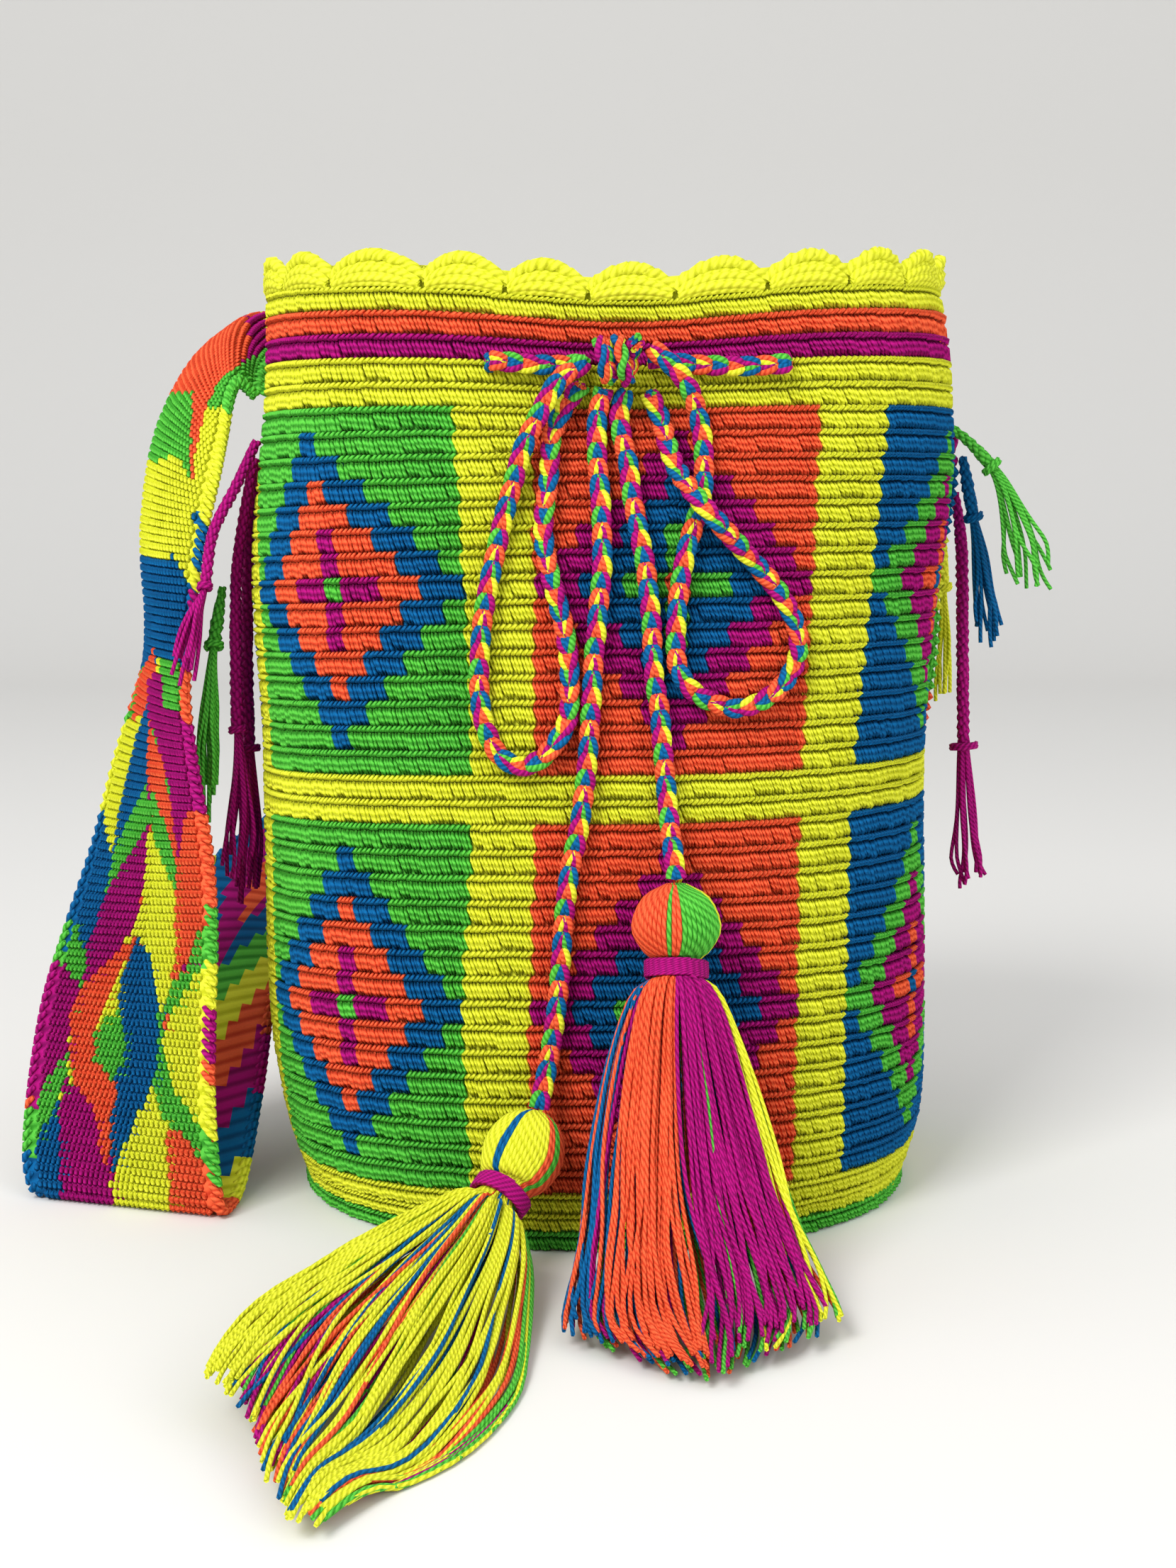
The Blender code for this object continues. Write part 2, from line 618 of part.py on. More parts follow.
def frame_along(points, i):
    """Across and up directions of a section that faces along a line of points."""
    ahead = points[min(i + 1, len(points) - 1)] - points[max(i - 1, 0)]
    ahead.normalize()
    across = ahead.cross(Vector((0, -1, 1)))
    across.normalize()
    return across, across.cross(ahead)


def oval_section(middle, across, up, half_width, half_height, sides):
    """A ring of points round a middle."""
    turns = [2 * math.pi * k / sides for k in range(sides)]
    return [middle + across * half_width * math.cos(t) + up * half_height * math.sin(t)
            for t in turns]


def build_tassel(side, sections, neck, colour):
    """A bundle of yarn folded over the cord's end, and the yarn wound round its neck."""
    middles = [Vector(s[0]) for s in sections]
    rings = []
    for i, (middle, half_width, half_height) in enumerate(sections):
        across, up = frame_along(middles, i)
        points = oval_section(middles[i], across, up, half_width, half_height, TASSEL_SIDES)
        rings.append([Vector((p.x, p.y, max(p.z, GAP))) for p in points])
    loft(f"tassel_{side}_yarn", colour, rings)

    first, last = neck
    axis = (middles[last] - middles[first]).normalized()
    middle = (middles[first] + middles[last]) / 2
    across, up = frame_along(middles, first)
    radius = max(sections[first][1:]) + GAP + BINDING
    mesh = bmesh.new()
    turns = []
    for k in range(TASSEL_SIDES):
        t = 2 * math.pi * k / TASSEL_SIDES
        out = across * math.cos(t) + up * math.sin(t)
        turns.append(ring(mesh, [middle + out * (radius + BINDING * math.cos(s))
                                 + axis * BINDING * math.sin(s)
                                 for s in (2 * math.pi * j / BINDING_SIDES
                                           for j in range(BINDING_SIDES))]))
    for a, b in zip(turns, turns[1:] + turns[:1]):
        for j in range(BINDING_SIDES):
            after = (j + 1) % BINDING_SIDES
            mesh.faces.new((a[j], b[j], b[after], a[after]))
    bmesh.ops.recalc_face_normals(mesh, faces=mesh.faces)
    show(f"tassel_{side}_binding", mesh, ("magenta",))


def build_knot():
    """The bow's knot, a round lump that the cords run into."""
    x, z = KNOT
    mesh = bmesh.new()
    bmesh.ops.create_icosphere(mesh, subdivisions=3, radius=1)
    middle = Vector((x, front_of(x, z) - RIDGE - GAP - KNOT_HALF[1] - CORD, z))
    for v in mesh.verts:
        v.co = (middle + Vector(a * b for a, b in zip(v.co, KNOT_HALF))) * MM
    return show("bow_knot", mesh, ("braid",))


def side_of(y, height, hand):
    """The X of the wall's left (-1) or right (1) side."""
    middle, half_width, half_depth = oval(height)
    return middle + hand * half_width * (1 - abs(y / half_depth) ** SQUARENESS) ** (1 / SQUARENESS)


def seam(places, hand):
    """The three points of the strap's end, a touch off the wall."""
    off = hand * (RIDGE + GAP + STRAP / 2 + SEAM_EASE)
    return tuple((side_of(y, z, hand) + off, y, z) for y, z in places)


def build_strap():
    """The woven strap, sewn to both sides of the mouth and fallen to the left and behind."""
    route = (seam(STRAP_SEAM_LEFT, -1), *STRAP_ROUTE, seam(STRAP_SEAM_RIGHT, 1))
    left, middle, right = (smooth_line([section[k] for section in route], STRAP_EVERY) for k in range(3))
    grid = []
    for a, m, b in zip(left, middle, right):
        line = []
        for k in range(STRAP_ACROSS + 1):
            u = 2 * k / STRAP_ACROSS - 1
            line.append(m + (b - a) / 2 * u + ((a + b) / 2 - m) * u * u)
        grid.append(line)
    sections = []
    for i, line in enumerate(grid):
        before, after = grid[max(i - 1, 0)], grid[min(i + 1, len(grid) - 1)]
        outer, inner = [], []
        for k, p in enumerate(line):
            along = after[k] - before[k]
            across = line[min(k + 1, STRAP_ACROSS)] - line[max(k - 1, 0)]
            normal = along.cross(across).normalized()
            outer.append(p + normal * STRAP / 2)
            inner.append(p - normal * STRAP / 2)
        sections.append(outer + inner[::-1])
    return loft("strap", "orange", sections)


def build_fringe(name, colour, route, halves):
    """A bundle of the strap's yarn that hangs below its seam."""
    points = [Vector(p) for p in route]
    rings = []
    for i, half in enumerate(halves):
        across, up = frame_along(points, i)
        rings.append(oval_section(points[i], across, up, half, half * 0.8, FRINGE_SIDES))
    return loft(name, colour, rings)


def main():
    """Build every piece of the bag."""
    for thing in list(bpy.data.objects):
        bpy.data.objects.remove(thing)
    build_bag()
    build_strap()
    build_lace_inside()
    build_knot()
    for name, route in (("drawstring_front_left", LACE_LEFT), ("drawstring_front_right", LACE_RIGHT),
                        ("bow_loop_left", LOOP_LEFT), ("bow_loop_right", LOOP_RIGHT),
                        ("tail_left", TAIL_LEFT), ("tail_right", TAIL_RIGHT)):
        build_cord(name, over_front(route))
    build_tassel("left", TASSEL_LEFT, LEFT_NECK, "yellow")
    build_tassel("right", TASSEL_RIGHT, RIGHT_NECK, "orange")
    for fringe in FRINGES:
        build_fringe(*fringe)


main()
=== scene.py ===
"""Looks of a crocheted bucket bag with a woven strap, a braided drawstring and two tassels.

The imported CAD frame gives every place. Lengths are in millimetres until a mesh is made, which is in metres.
The origin is the centre of the bag's underside, +Z is up and the bow faces -Y.
"""

from __future__ import annotations

import logging
import math
from dataclasses import dataclass, field
from enum import Enum
from typing import Any, ClassVar, Iterable, Sequence

import bpy
import numpy as np
from bpy.types import Material, Mesh, Node, NodeSocket, NodeTree, Object
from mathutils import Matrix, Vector

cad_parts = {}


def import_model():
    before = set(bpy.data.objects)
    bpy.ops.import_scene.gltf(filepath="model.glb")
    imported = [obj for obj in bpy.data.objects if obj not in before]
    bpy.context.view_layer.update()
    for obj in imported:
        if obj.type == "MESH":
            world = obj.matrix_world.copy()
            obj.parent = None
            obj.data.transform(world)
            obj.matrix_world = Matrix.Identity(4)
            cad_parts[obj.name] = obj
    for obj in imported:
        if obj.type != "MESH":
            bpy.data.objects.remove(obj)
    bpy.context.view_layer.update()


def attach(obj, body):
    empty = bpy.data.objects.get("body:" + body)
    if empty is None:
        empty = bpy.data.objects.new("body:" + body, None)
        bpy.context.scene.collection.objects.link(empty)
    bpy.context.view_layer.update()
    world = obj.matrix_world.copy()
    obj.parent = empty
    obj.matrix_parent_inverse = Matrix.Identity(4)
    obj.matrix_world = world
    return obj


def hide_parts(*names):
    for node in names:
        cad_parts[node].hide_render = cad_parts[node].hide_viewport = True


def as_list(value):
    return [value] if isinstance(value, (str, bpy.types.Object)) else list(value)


log = logging.getLogger("bag")
MM = 0.001
SEED = 7
GAP = 0.35  # clearance between two pieces that lie on each other
CHAIN = 0.9  # how far the rows' chains stand out of the wall
Table = Sequence[Sequence[float]]


# Colours and nodes


def linear(code: str) -> tuple[float, float, float, float]:
    """Turn an sRGB hex colour into linear RGBA.

    Args:
        code: six hex digits with a leading hash.

    Returns:
        The four linear values.
    """
    parts = [int(code[i : i + 2], 16) / 255 for i in (1, 3, 5)]
    straight = [c / 12.92 if c <= 0.04045 else ((c + 0.055) / 1.055) ** 2.4 for c in parts]
    return (*straight, 1.0)


def add(tree: NodeTree, kind: str, settings: dict[str, Any] | None = None, **inputs: Any) -> Node:
    """Add a node with its settings, and fill or link its inputs.

    Args:
        tree: the node tree that gets the node.
        kind: the node's type name.
        settings: the node's own properties.
        **inputs: a value or an output socket for each input, by the input's name, with _ for a space,
            or in{n} for the input at place n.

    Returns:
        The new node.
    """
    node = tree.nodes.new(kind)
    for key, value in (settings or {}).items():
        setattr(node, key, value)
    enabled = [s for s in node.inputs if s.enabled]
    for key, value in inputs.items():
        if key.startswith("in") and key[2:].isdigit():
            socket = enabled[int(key[2:])]
        else:
            socket = next(s for s in enabled if s.name == key.replace("_", " "))
        if isinstance(value, NodeSocket):
            tree.links.new(value, socket)
        else:
            socket.default_value = value
    return node


def out(node: Node, name: str | None = None) -> NodeSocket:
    """The node's output of a name, or its first one that is in use."""
    return next(s for s in node.outputs if s.enabled and name in (None, s.name))


# Yarns


class Yarn(Enum):
    """The yarns, by the number that the meshes keep."""

    YELLOW = 0
    ORANGE = 1
    MAGENTA = 2
    BLUE = 3
    GREEN = 4


@dataclass(frozen=True)
class SpunYarn:
    """Acrylic knitting yarn, spun and plied: matt, soft-edged fibre with twisted plies and a short fuzz."""

    name: str
    colour: str
    # The second colour is painted shade: the yarn's tone in the shadow of its ply grooves. The random fibre
    # noise and the uneven dye patches also mix it in.
    shade_and_dye_tone: str
    plies: int = 2
    ply_depth: float = 0.25  # mm from the crest of a ply to the groove between two
    fibre_size: float = 0.35  # mm across a wisp of fibre, as coarse as the render shows
    fibre_depth: float = 0.09
    patch_size: float = 9.0  # mm across an uneven patch of dye
    groove_shade: float = 0.5  # how much painted shade a ply groove adds
    fibre_tone: float = 0.35  # how much the fibres' noise adds
    patch_tone: float = 0.3  # how much a patch adds
    roughness: float = 0.78
    specular: float = 0.12
    sheen: float = 0.12
    sheen_roughness: float = 0.4

    def material(self) -> Material:
        """Make the yarn's material, or find it where it was made before.

        Returns:
            The material.
        """
        found = bpy.data.materials.get(self.name)
        if found:
            return found
        made = bpy.data.materials.new(self.name)
        made.use_nodes = True
        tree = made.node_tree
        shader = tree.nodes["Principled BSDF"]
        ply, where = self.ply(tree), out(add(tree, "ShaderNodeTexCoord"), "Object")
        fibre, patch = (
            out(add(tree, "ShaderNodeTexNoise", Vector=where, Scale=1 / (size * MM), Detail=detail), "Fac")
            for size, detail in ((self.fibre_size, 2.0), (self.patch_size, 1.0))
        )
        # Base colour: painted shade in the ply grooves, plus random fibre-scale tone and uneven dye patches,
        # all drawn from the second colour.
        share = self.shade_and_dye_share(tree, ply, fibre, patch)
        shade = add(tree, "ShaderNodeMix", {"data_type": "RGBA"}, Factor=share, A=linear(self.colour),
                    B=linear(self.shade_and_dye_tone))
        tree.links.new(out(shade, "Result"), shader.inputs["Base Color"])
        tree.links.new(self.relief(tree, ply, fibre), shader.inputs["Normal"])
        for name, value in (("Roughness", self.roughness), ("Specular IOR Level", self.specular),
                            ("Sheen Weight", self.sheen), ("Sheen Roughness", self.sheen_roughness),
                            ("Sheen Tint", linear(self.colour))):
            shader.inputs[name].default_value = value
        return made

    def ply(self, tree: NodeTree) -> NodeSocket:
        """How high the plies stand at a point, from 0 in a groove to 1 on a crest.

        Args:
            tree: the material's tree.

        Returns:
            The height's socket.
        """
        lay = add(tree, "ShaderNodeAttribute", {"attribute_name": "lay"})
        parts = add(tree, "ShaderNodeSeparateXYZ", Vector=out(lay, "Vector"))
        angle = add(tree, "ShaderNodeMath", {"operation": "ARCTAN2"}, in0=out(parts, "Y"),
                    in1=out(parts, "X"))
        turns = add(tree, "ShaderNodeMath", {"operation": "MULTIPLY"}, in0=out(parts, "Z"), in1=2 * math.pi)
        phase = add(tree, "ShaderNodeMath", {"operation": "MULTIPLY_ADD"}, in0=out(angle),
                    in1=float(self.plies), in2=out(turns))
        wave = add(tree, "ShaderNodeMath", {"operation": "SINE"}, in0=out(phase))
        half = {"in1": 0.5, "in2": 0.5}
        return out(add(tree, "ShaderNodeMath", {"operation": "MULTIPLY_ADD"}, in0=out(wave), **half))

    def relief(self, tree: NodeTree, ply: NodeSocket, fibre: NodeSocket) -> NodeSocket:
        """Bump of the plies, and of the fibres on them.

        Args:
            tree: the material's tree.
            ply: height of the plies.
            fibre: the fibres' noise.

        Returns:
            The normal's socket.
        """
        plied = add(tree, "ShaderNodeBump", Strength=1.0, Distance=self.ply_depth * MM, Height=ply)
        return out(add(tree, "ShaderNodeBump", Strength=1.0, Distance=self.fibre_depth * MM, Height=fibre,
                       Normal=out(plied)))

    def shade_and_dye_share(self, tree: NodeTree, ply: NodeSocket, fibre: NodeSocket, patch: NodeSocket) -> NodeSocket:
        """How much of the second colour shows: painted shade in the ply grooves, fine random noise and uneven
        patches of dye.

        Args:
            tree: the material's tree.
            ply: height of the plies.
            fibre: the fibres' noise.
            patch: the broad noise.

        Returns:
            The share's socket.
        """
        # Painted shade: the ply grooves take the shade colour.
        groove = add(tree, "ShaderNodeMapRange", Value=ply, From_Min=0.0, From_Max=0.65,
                     To_Min=self.groove_shade, To_Max=0.0)
        both = add(tree, "ShaderNodeMath", {"operation": "MULTIPLY_ADD"}, in0=fibre, in1=self.fibre_tone,
                   in2=out(groove))
        three = add(tree, "ShaderNodeMath", {"operation": "MULTIPLY_ADD"}, in0=patch, in1=self.patch_tone,
                    in2=out(both))
        return out(add(tree, "ShaderNodeMapRange", Value=out(three), From_Min=0.2, From_Max=0.85, To_Min=0.0,
                       To_Max=0.8))


# Each yarn's second colour is painted shade: the tone it has in the shadow of its ply grooves. The random
# fibre noise and the dye patches mix it in too.
YARNS = {
    Yarn.YELLOW: SpunYarn("spun_acrylic_lime_yellow", "#EDF040", "#B0B404"),
    Yarn.ORANGE: SpunYarn("spun_acrylic_coral_orange", "#FB6B40", "#B0200C"),
    Yarn.MAGENTA: SpunYarn("spun_acrylic_magenta", "#B8107E", "#5E0040"),
    Yarn.BLUE: SpunYarn("spun_acrylic_ocean_blue", "#0767A2", "#003660"),
    Yarn.GREEN: SpunYarn("spun_acrylic_leaf_green", "#62CC48", "#126E0C"),
}


# Curves and meshes


def smooth(table: Table, at: Any, column: int) -> np.ndarray:
    """Read a column of a table at places between its rows, on the smooth curve that the CAD source uses.

    Args:
        table: rows whose first value rises.
        at: the first values at which the column is wanted.
        column: which value of a row is read.

    Returns:
        The values.
    """
    rows = np.array([[r[0], r[column]] for r in table], float)
    x, y = rows[:, 0], rows[:, 1]
    at = np.clip(at, x[0], x[-1])
    i = np.clip(np.searchsorted(x, at, side="right") - 1, 0, len(x) - 2)
    low, high = np.maximum(np.arange(len(x)) - 1, 0), np.minimum(np.arange(len(x)) + 1, len(x) - 1)
    slope = (y[high] - y[low]) / (x[high] - x[low])
    span, rise = x[i + 1] - x[i], y[i + 1] - y[i]
    t = (at - x[i]) / span
    early, late = slope[i] * span - rise, slope[i + 1] * span - rise
    return y[i] + t * rise + t * (1 - t) * ((1 - t) * early - t * late)


def unit(vectors: np.ndarray) -> np.ndarray:
    """Vectors of length one."""
    return vectors / np.maximum(np.linalg.norm(vectors, axis=-1, keepdims=True), 1e-12)


def distances(line: np.ndarray) -> np.ndarray:
    """Lengths from a line's start to each of its points."""
    return np.concatenate([[0], np.cumsum(np.linalg.norm(np.diff(line, axis=0), axis=1))])


def smooth_line(points: Any, parts: int) -> np.ndarray:
    """A smooth curve through points, with the same number of stretches between each two.

    Args:
        points: the route's points.
        parts: stretches between two of them.

    Returns:
        The curve's points.
    """
    p = np.array(points, float)
    padded = np.vstack([2 * p[0] - p[1], p, 2 * p[-1] - p[-2]])
    a, b, c, d = padded[:-3, None], padded[1:-2, None], padded[2:-1, None], padded[3:, None]
    t = (np.arange(parts) / parts)[None, :, None]
    line = 0.5 * (2 * b + (c - a) * t + (2 * a - 5 * b + 4 * c - d) * t * t + (3 * b - a - 3 * c + d) * t**3)
    return np.vstack([line.reshape(-1, p.shape[1]), p[-1]])


def spaced(points: Any, step: float) -> np.ndarray:
    """Points a step apart on the smooth curve through a route's points.

    Args:
        points: the route's points.
        step: distance between two of the new points.

    Returns:
        The points.
    """
    fine = smooth_line(points, 16)
    lengths = distances(fine)
    want = np.linspace(0, lengths[-1], max(2, round(lengths[-1] / step)) + 1)
    return np.stack([np.interp(want, lengths, fine[:, k]) for k in range(fine.shape[1])], axis=1)


def frames(line: np.ndarray, up: Sequence[float] = (0, -1, 0)) -> tuple[np.ndarray, np.ndarray, np.ndarray]:
    """Directions along, across and off a line, with no sudden turn between two points.

    Args:
        line: the line's points.
        up: the direction that the off direction starts nearest to.

    Returns:
        Unit vectors along, across and off.
    """
    ahead = unit(np.gradient(line, axis=0))
    off = np.zeros_like(line)
    now = np.array(up, float)
    for i, t in enumerate(ahead):
        now = unit(now - t * (now @ t))
        off[i] = now
    return ahead, np.cross(off, ahead), off


def keep(mesh: Mesh, name: str, values: Any) -> None:
    """Keep a value on each point of a mesh, for a tree or a material to read.

    Args:
        mesh: the mesh.
        name: the value's name.
        values: a whole number, a number or a vector for each point.
    """
    values = np.asarray(values)
    whole, vector = values.dtype.kind == "i", values.ndim == 2
    kind = "INT" if whole else "FLOAT_VECTOR" if vector else "FLOAT"
    data = mesh.attributes.new(name, kind, "POINT").data
    values = values.astype(np.int32 if whole else np.float32).ravel()
    data.foreach_set("vector" if vector else "value", values)


def stitch_guide(points: np.ndarray, outward: np.ndarray, back: np.ndarray, size: np.ndarray,
                 yarns: Sequence[int]) -> Mesh:
    """A point for each stitch or grain, with what the tree that sets them reads.

    Args:
        points: their places.
        outward: the directions that they face.
        back: the directions of the stitch before.
        size: how wide, deep and high they are.
        yarns: the yarns' numbers.

    Returns:
        The guide.
    """
    mesh = bpy.data.meshes.new("stitch_guide")
    mesh.vertices.add(len(points))
    mesh.vertices.foreach_set("co", (points * MM).astype(np.float32).ravel())
    for name, values in (("outward", outward), ("back", back), ("size", size * MM), ("yarn", yarns)):
        keep(mesh, name, values)
    return mesh


def closed_cloth(name: str, rings: np.ndarray, faces: list[tuple[int, ...]], yarns: Sequence[int],
                 twist: float) -> Object:
    """Join rings of points into a closed piece with a material for each yarn.

    Args:
        name: the piece's name.
        rings: its points, ring by ring.
        faces: its faces.
        yarns: the yarn of each face.
        twist: how far the plies turn from one point of a ring to the next, in radians.

    Returns:
        The piece.
    """
    mesh = bpy.data.meshes.new(name)
    mesh.from_pydata((rings.reshape(-1, 3) * MM).tolist(), [], faces)
    for finish in YARNS.values():
        mesh.materials.append(finish.material())
    mesh.polygons.foreach_set("material_index", np.array(yarns, np.int32))
    ring, k = np.divmod(np.arange(rings.shape[0] * rings.shape[1]), rings.shape[1])
    keep(mesh, "lay", np.stack([np.cos(twist * k), np.sin(twist * k), 0.5 * ring], axis=1))
    mesh.shade_smooth()
    return place(name, mesh)


@dataclass
class Strands:
    """Yarns as lines with a thickness, gathered before one node tree sweeps them into a mesh."""

    points: list[np.ndarray] = field(default_factory=list)
    radii: list[np.ndarray] = field(default_factory=list)
    yarns: list[np.ndarray] = field(default_factory=list)
    starts: list[np.ndarray] = field(default_factory=list)
    SHIFT: ClassVar[float] = 0.618  # of a ply turn from one yarn to the next, so that plies don't line up

    def put(self, line: np.ndarray, radius: Any, yarn: Yarn) -> None:
        """Add a yarn.

        Args:
            line: its points in millimetres.
            radius: its radius, one or one for each point.
            yarn: its colour.
        """
        self.points.append(np.asarray(line, float))
        self.radii.append(np.broadcast_to(np.asarray(radius, float), (len(line),)))
        self.yarns.append(np.full(len(line), yarn.value))
        self.starts.append(np.full(len(line), (self.SHIFT * len(self.points)) % 1.0))

    def guide(self) -> Mesh:
        """The lines as a mesh of edges with their radius and colour on each point.

        Returns:
            The mesh.
        """
        mesh = bpy.data.meshes.new("guide")
        points = np.vstack(self.points) * MM
        edges, start = [], 0
        for line in self.points:
            n = np.arange(start, start + len(line) - 1)
            edges.append(np.stack([n, n + 1], axis=1))
            start += len(line)
        mesh.vertices.add(len(points))
        mesh.vertices.foreach_set("co", points.astype(np.float32).ravel())
        joined = np.vstack(edges)
        mesh.edges.add(len(joined))
        mesh.edges.foreach_set("vertices", joined.astype(np.int32).ravel())
        keep(mesh, "thick", np.concatenate(self.radii) * MM)
        keep(mesh, "start", np.concatenate(self.starts))
        keep(mesh, "yarn", np.concatenate(self.yarns))
        return mesh


def start_tree(name: str,
               inputs: Iterable[tuple[str, str, Any]]) -> tuple[NodeTree, dict[str, NodeSocket]]:
    """Start a geometry tree with a geometry input and named inputs for its sizes.

    Args:
        name: the tree's name.
        inputs: name, socket type and default of each input.

    Returns:
        The tree, and its inputs by name.
    """
    tree = bpy.data.node_groups.new(name, "GeometryNodeTree")
    tree.interface.new_socket("Geometry", in_out="INPUT", socket_type="NodeSocketGeometry")
    for title, kind, value in inputs:
        socket = tree.interface.new_socket(title, in_out="INPUT", socket_type=kind)
        if value is not None:
            socket.default_value = value
    tree.interface.new_socket("Geometry", in_out="OUTPUT", socket_type="NodeSocketGeometry")
    entry = tree.nodes.new("NodeGroupInput")
    return tree, {s.name: s for s in entry.outputs if s.name}


def dress(tree: NodeTree, geometry: NodeSocket) -> None:
    """End a geometry tree: realize, give each yarn its material, and shade smooth.

    Args:
        tree: the tree.
        geometry: what it has made.
    """
    flow = out(add(tree, "GeometryNodeRealizeInstances", Geometry=geometry))
    which = out(add(tree, "GeometryNodeInputNamedAttribute", {"data_type": "INT"}, Name="yarn"), "Attribute")
    flow = out(add(tree, "GeometryNodeSetShadeSmooth", Geometry=flow))
    for yarn, finish in YARNS.items():
        same = add(tree, "FunctionNodeCompare", {"data_type": "INT", "operation": "EQUAL"}, in0=which,
                   in1=yarn.value)
        flow = out(add(tree, "GeometryNodeSetMaterial", Geometry=flow, Selection=out(same),
                       Material=finish.material()))
    end = tree.nodes.new("NodeGroupOutput")
    tree.links.new(flow, end.inputs[0])


def run_tree(name: str, guide: Mesh, tree: NodeTree, values: dict[str, Any]) -> Object:
    """Run a geometry tree on a guide and keep the result as a plain mesh.

    Args:
        name: the piece's name.
        guide: the mesh that the tree works on.
        tree: the tree.
        values: the tree's inputs by name.

    Returns:
        The piece.
    """
    maker = bpy.data.objects.new(name + "_guide", guide)
    bpy.context.scene.collection.objects.link(maker)
    modifier = maker.modifiers.new("tree", "NODES")
    modifier.node_group = tree
    for item in tree.interface.items_tree:
        if item.in_out == "INPUT" and item.name in values:
            modifier[item.identifier] = values[item.name]
    bpy.context.view_layer.update()
    made = bpy.data.meshes.new_from_object(maker.evaluated_get(bpy.context.evaluated_depsgraph_get()))
    points = np.empty(len(made.vertices) * 3, np.float32)
    made.vertices.foreach_get("co", points)
    points[2::3] = np.maximum(points[2::3], 0)  # yarn that rests on the floor is pressed flat there
    made.vertices.foreach_set("co", points)
    bpy.data.objects.remove(maker)
    bpy.data.meshes.remove(guide)
    return place(name, made)


def place(name: str, mesh: Mesh) -> Object:
    """Put a mesh in the scene and report it.

    Args:
        name: the piece's name.
        mesh: its mesh.

    Returns:
        The piece.
    """
    mesh.name = name
    thing = bpy.data.objects.new(name, mesh)
    bpy.context.scene.collection.objects.link(thing)
    mesh.calc_loop_triangles()
    log.info("%s: %d triangles", name, len(mesh.loop_triangles))
    return thing


class Sweep:
    """The tree that sweeps yarns along their lines, with the lay of their plies kept on the surface."""

    def __init__(self) -> None:
        """Build the tree once."""
        sizes = (("Sides", "NodeSocketInt", 6), ("Ply Turn", "NodeSocketFloat", 0.006))
        tree, given = start_tree("yarn_sweep", sizes)
        self.tree = tree
        rail = out(add(tree, "GeometryNodeMeshToCurve", Mesh=given["Geometry"]))
        along = out(add(tree, "GeometryNodeSplineParameter"), "Length")
        turns = out(add(tree, "ShaderNodeMath", {"operation": "DIVIDE"}, in0=along, in1=given["Ply Turn"]))
        start = add(tree, "GeometryNodeInputNamedAttribute", {"data_type": "FLOAT"}, Name="start")
        turns = out(add(tree, "ShaderNodeMath", {"operation": "ADD"}, in0=turns, in1=out(start, "Attribute")))
        rail = out(add(tree, "GeometryNodeStoreNamedAttribute", {"data_type": "FLOAT", "domain": "POINT"},
                       Geometry=rail, Name="turns", Value=turns))
        profile = out(add(tree, "GeometryNodeCurvePrimitiveCircle", Resolution=given["Sides"], Radius=1.0))
        round_ = out(add(tree, "GeometryNodeInputPosition"))
        vector = {"data_type": "FLOAT_VECTOR", "domain": "POINT"}
        profile = out(add(tree, "GeometryNodeStoreNamedAttribute", vector, Geometry=profile, Name="round",
                          Value=round_))
        thick = add(tree, "GeometryNodeInputNamedAttribute", {"data_type": "FLOAT"}, Name="thick")
        mesh = out(add(tree, "GeometryNodeCurveToMesh", Curve=rail, Profile_Curve=profile,
                       Scale=out(thick, "Attribute"), Fill_Caps=True))
        round_ = add(tree, "GeometryNodeInputNamedAttribute", {"data_type": "FLOAT_VECTOR"}, Name="round")
        turned = add(tree, "GeometryNodeInputNamedAttribute", {"data_type": "FLOAT"}, Name="turns")
        parts = add(tree, "ShaderNodeSeparateXYZ", Vector=out(round_, "Attribute"))
        lay = out(add(tree, "ShaderNodeCombineXYZ", X=out(parts, "X"), Y=out(parts, "Y"),
                      Z=out(turned, "Attribute")))
        mesh = out(add(tree, "GeometryNodeStoreNamedAttribute", vector, Geometry=mesh, Name="lay", Value=lay))
        dress(tree, mesh)

    def make(self, name: str, strands: Strands, sides: int = 6, ply_turn: float = 6.0) -> Object:
        """Sweep gathered yarns into one piece.

        Args:
            name: the piece's name.
            strands: the yarns.
            sides: faces round a yarn.
            ply_turn: millimetres in which the plies turn by one ply.

        Returns:
            The piece.
        """
        return run_tree(name, strands.guide(), self.tree, {"Sides": sides, "Ply Turn": ply_turn * MM})


# The crocheted wall


OUTLINE = (
    (0, 5, 88, 87), (4, 5.1, 93.6, 90.5), (12, 5.6, 96.4, 91.3), (25, 5.2, 100.2, 90.6), (58, 3, 103.2, 88),
    (120, 1.8, 103.2, 83), (150, 2, 103.7, 80), (175, 2, 105.6, 77.5), (200, 3.4, 107.4, 75),
    (225, 5.8, 107.3, 72), (240, 6.3, 106, 70), (255, 6.2, 105, 68), (270, 5, 103.7, 66),
    (284, 3.8, 100.4, 64),
)  # height, then the oval's middle, half width and half depth
LEVELS = (
    (1, 275.4, 273, 277), (4, 254.3, 253, 255.5), (6, 239.6, 239.4, 241), (13, 188.5, 192, 193.7),
    (21, 131.5, 135.4, 136.6), (23, 117.6, 121.6, 123.6), (30, 66, 72, 70.5), (38, 12.5, 17, 17),
    (40, 4, 6, 5),
)  # row, then the height of its top at the left, the front and the right
CROSSINGS = (
    (6, ((-6.5, -84.4), (0, -38.4), (3, -16.2), (16, 66.6), (19, 87.4), (25.5, 109.4))),
    (13, ((-6.5, -74.8), (0, -35.4), (3, -15.3), (16, 64.6), (19, 83), (25.5, 107.2))),
    (22, ((-6.5, -71.4), (0, -33), (3, -14.8), (16, 61), (19, 77), (25.5, 99.6))),
    (30, ((-6.5, -70.8), (0, -36), (3, -16.6), (16, 60.2), (19, 75.4), (25.5, 98.8))),
    (38, ((-6.5, -70), (0, -33.4), (3, -17), (16, 59.2), (19, 74.6), (25.5, 97))),
)  # row, then step and X of the pattern's edges on the front


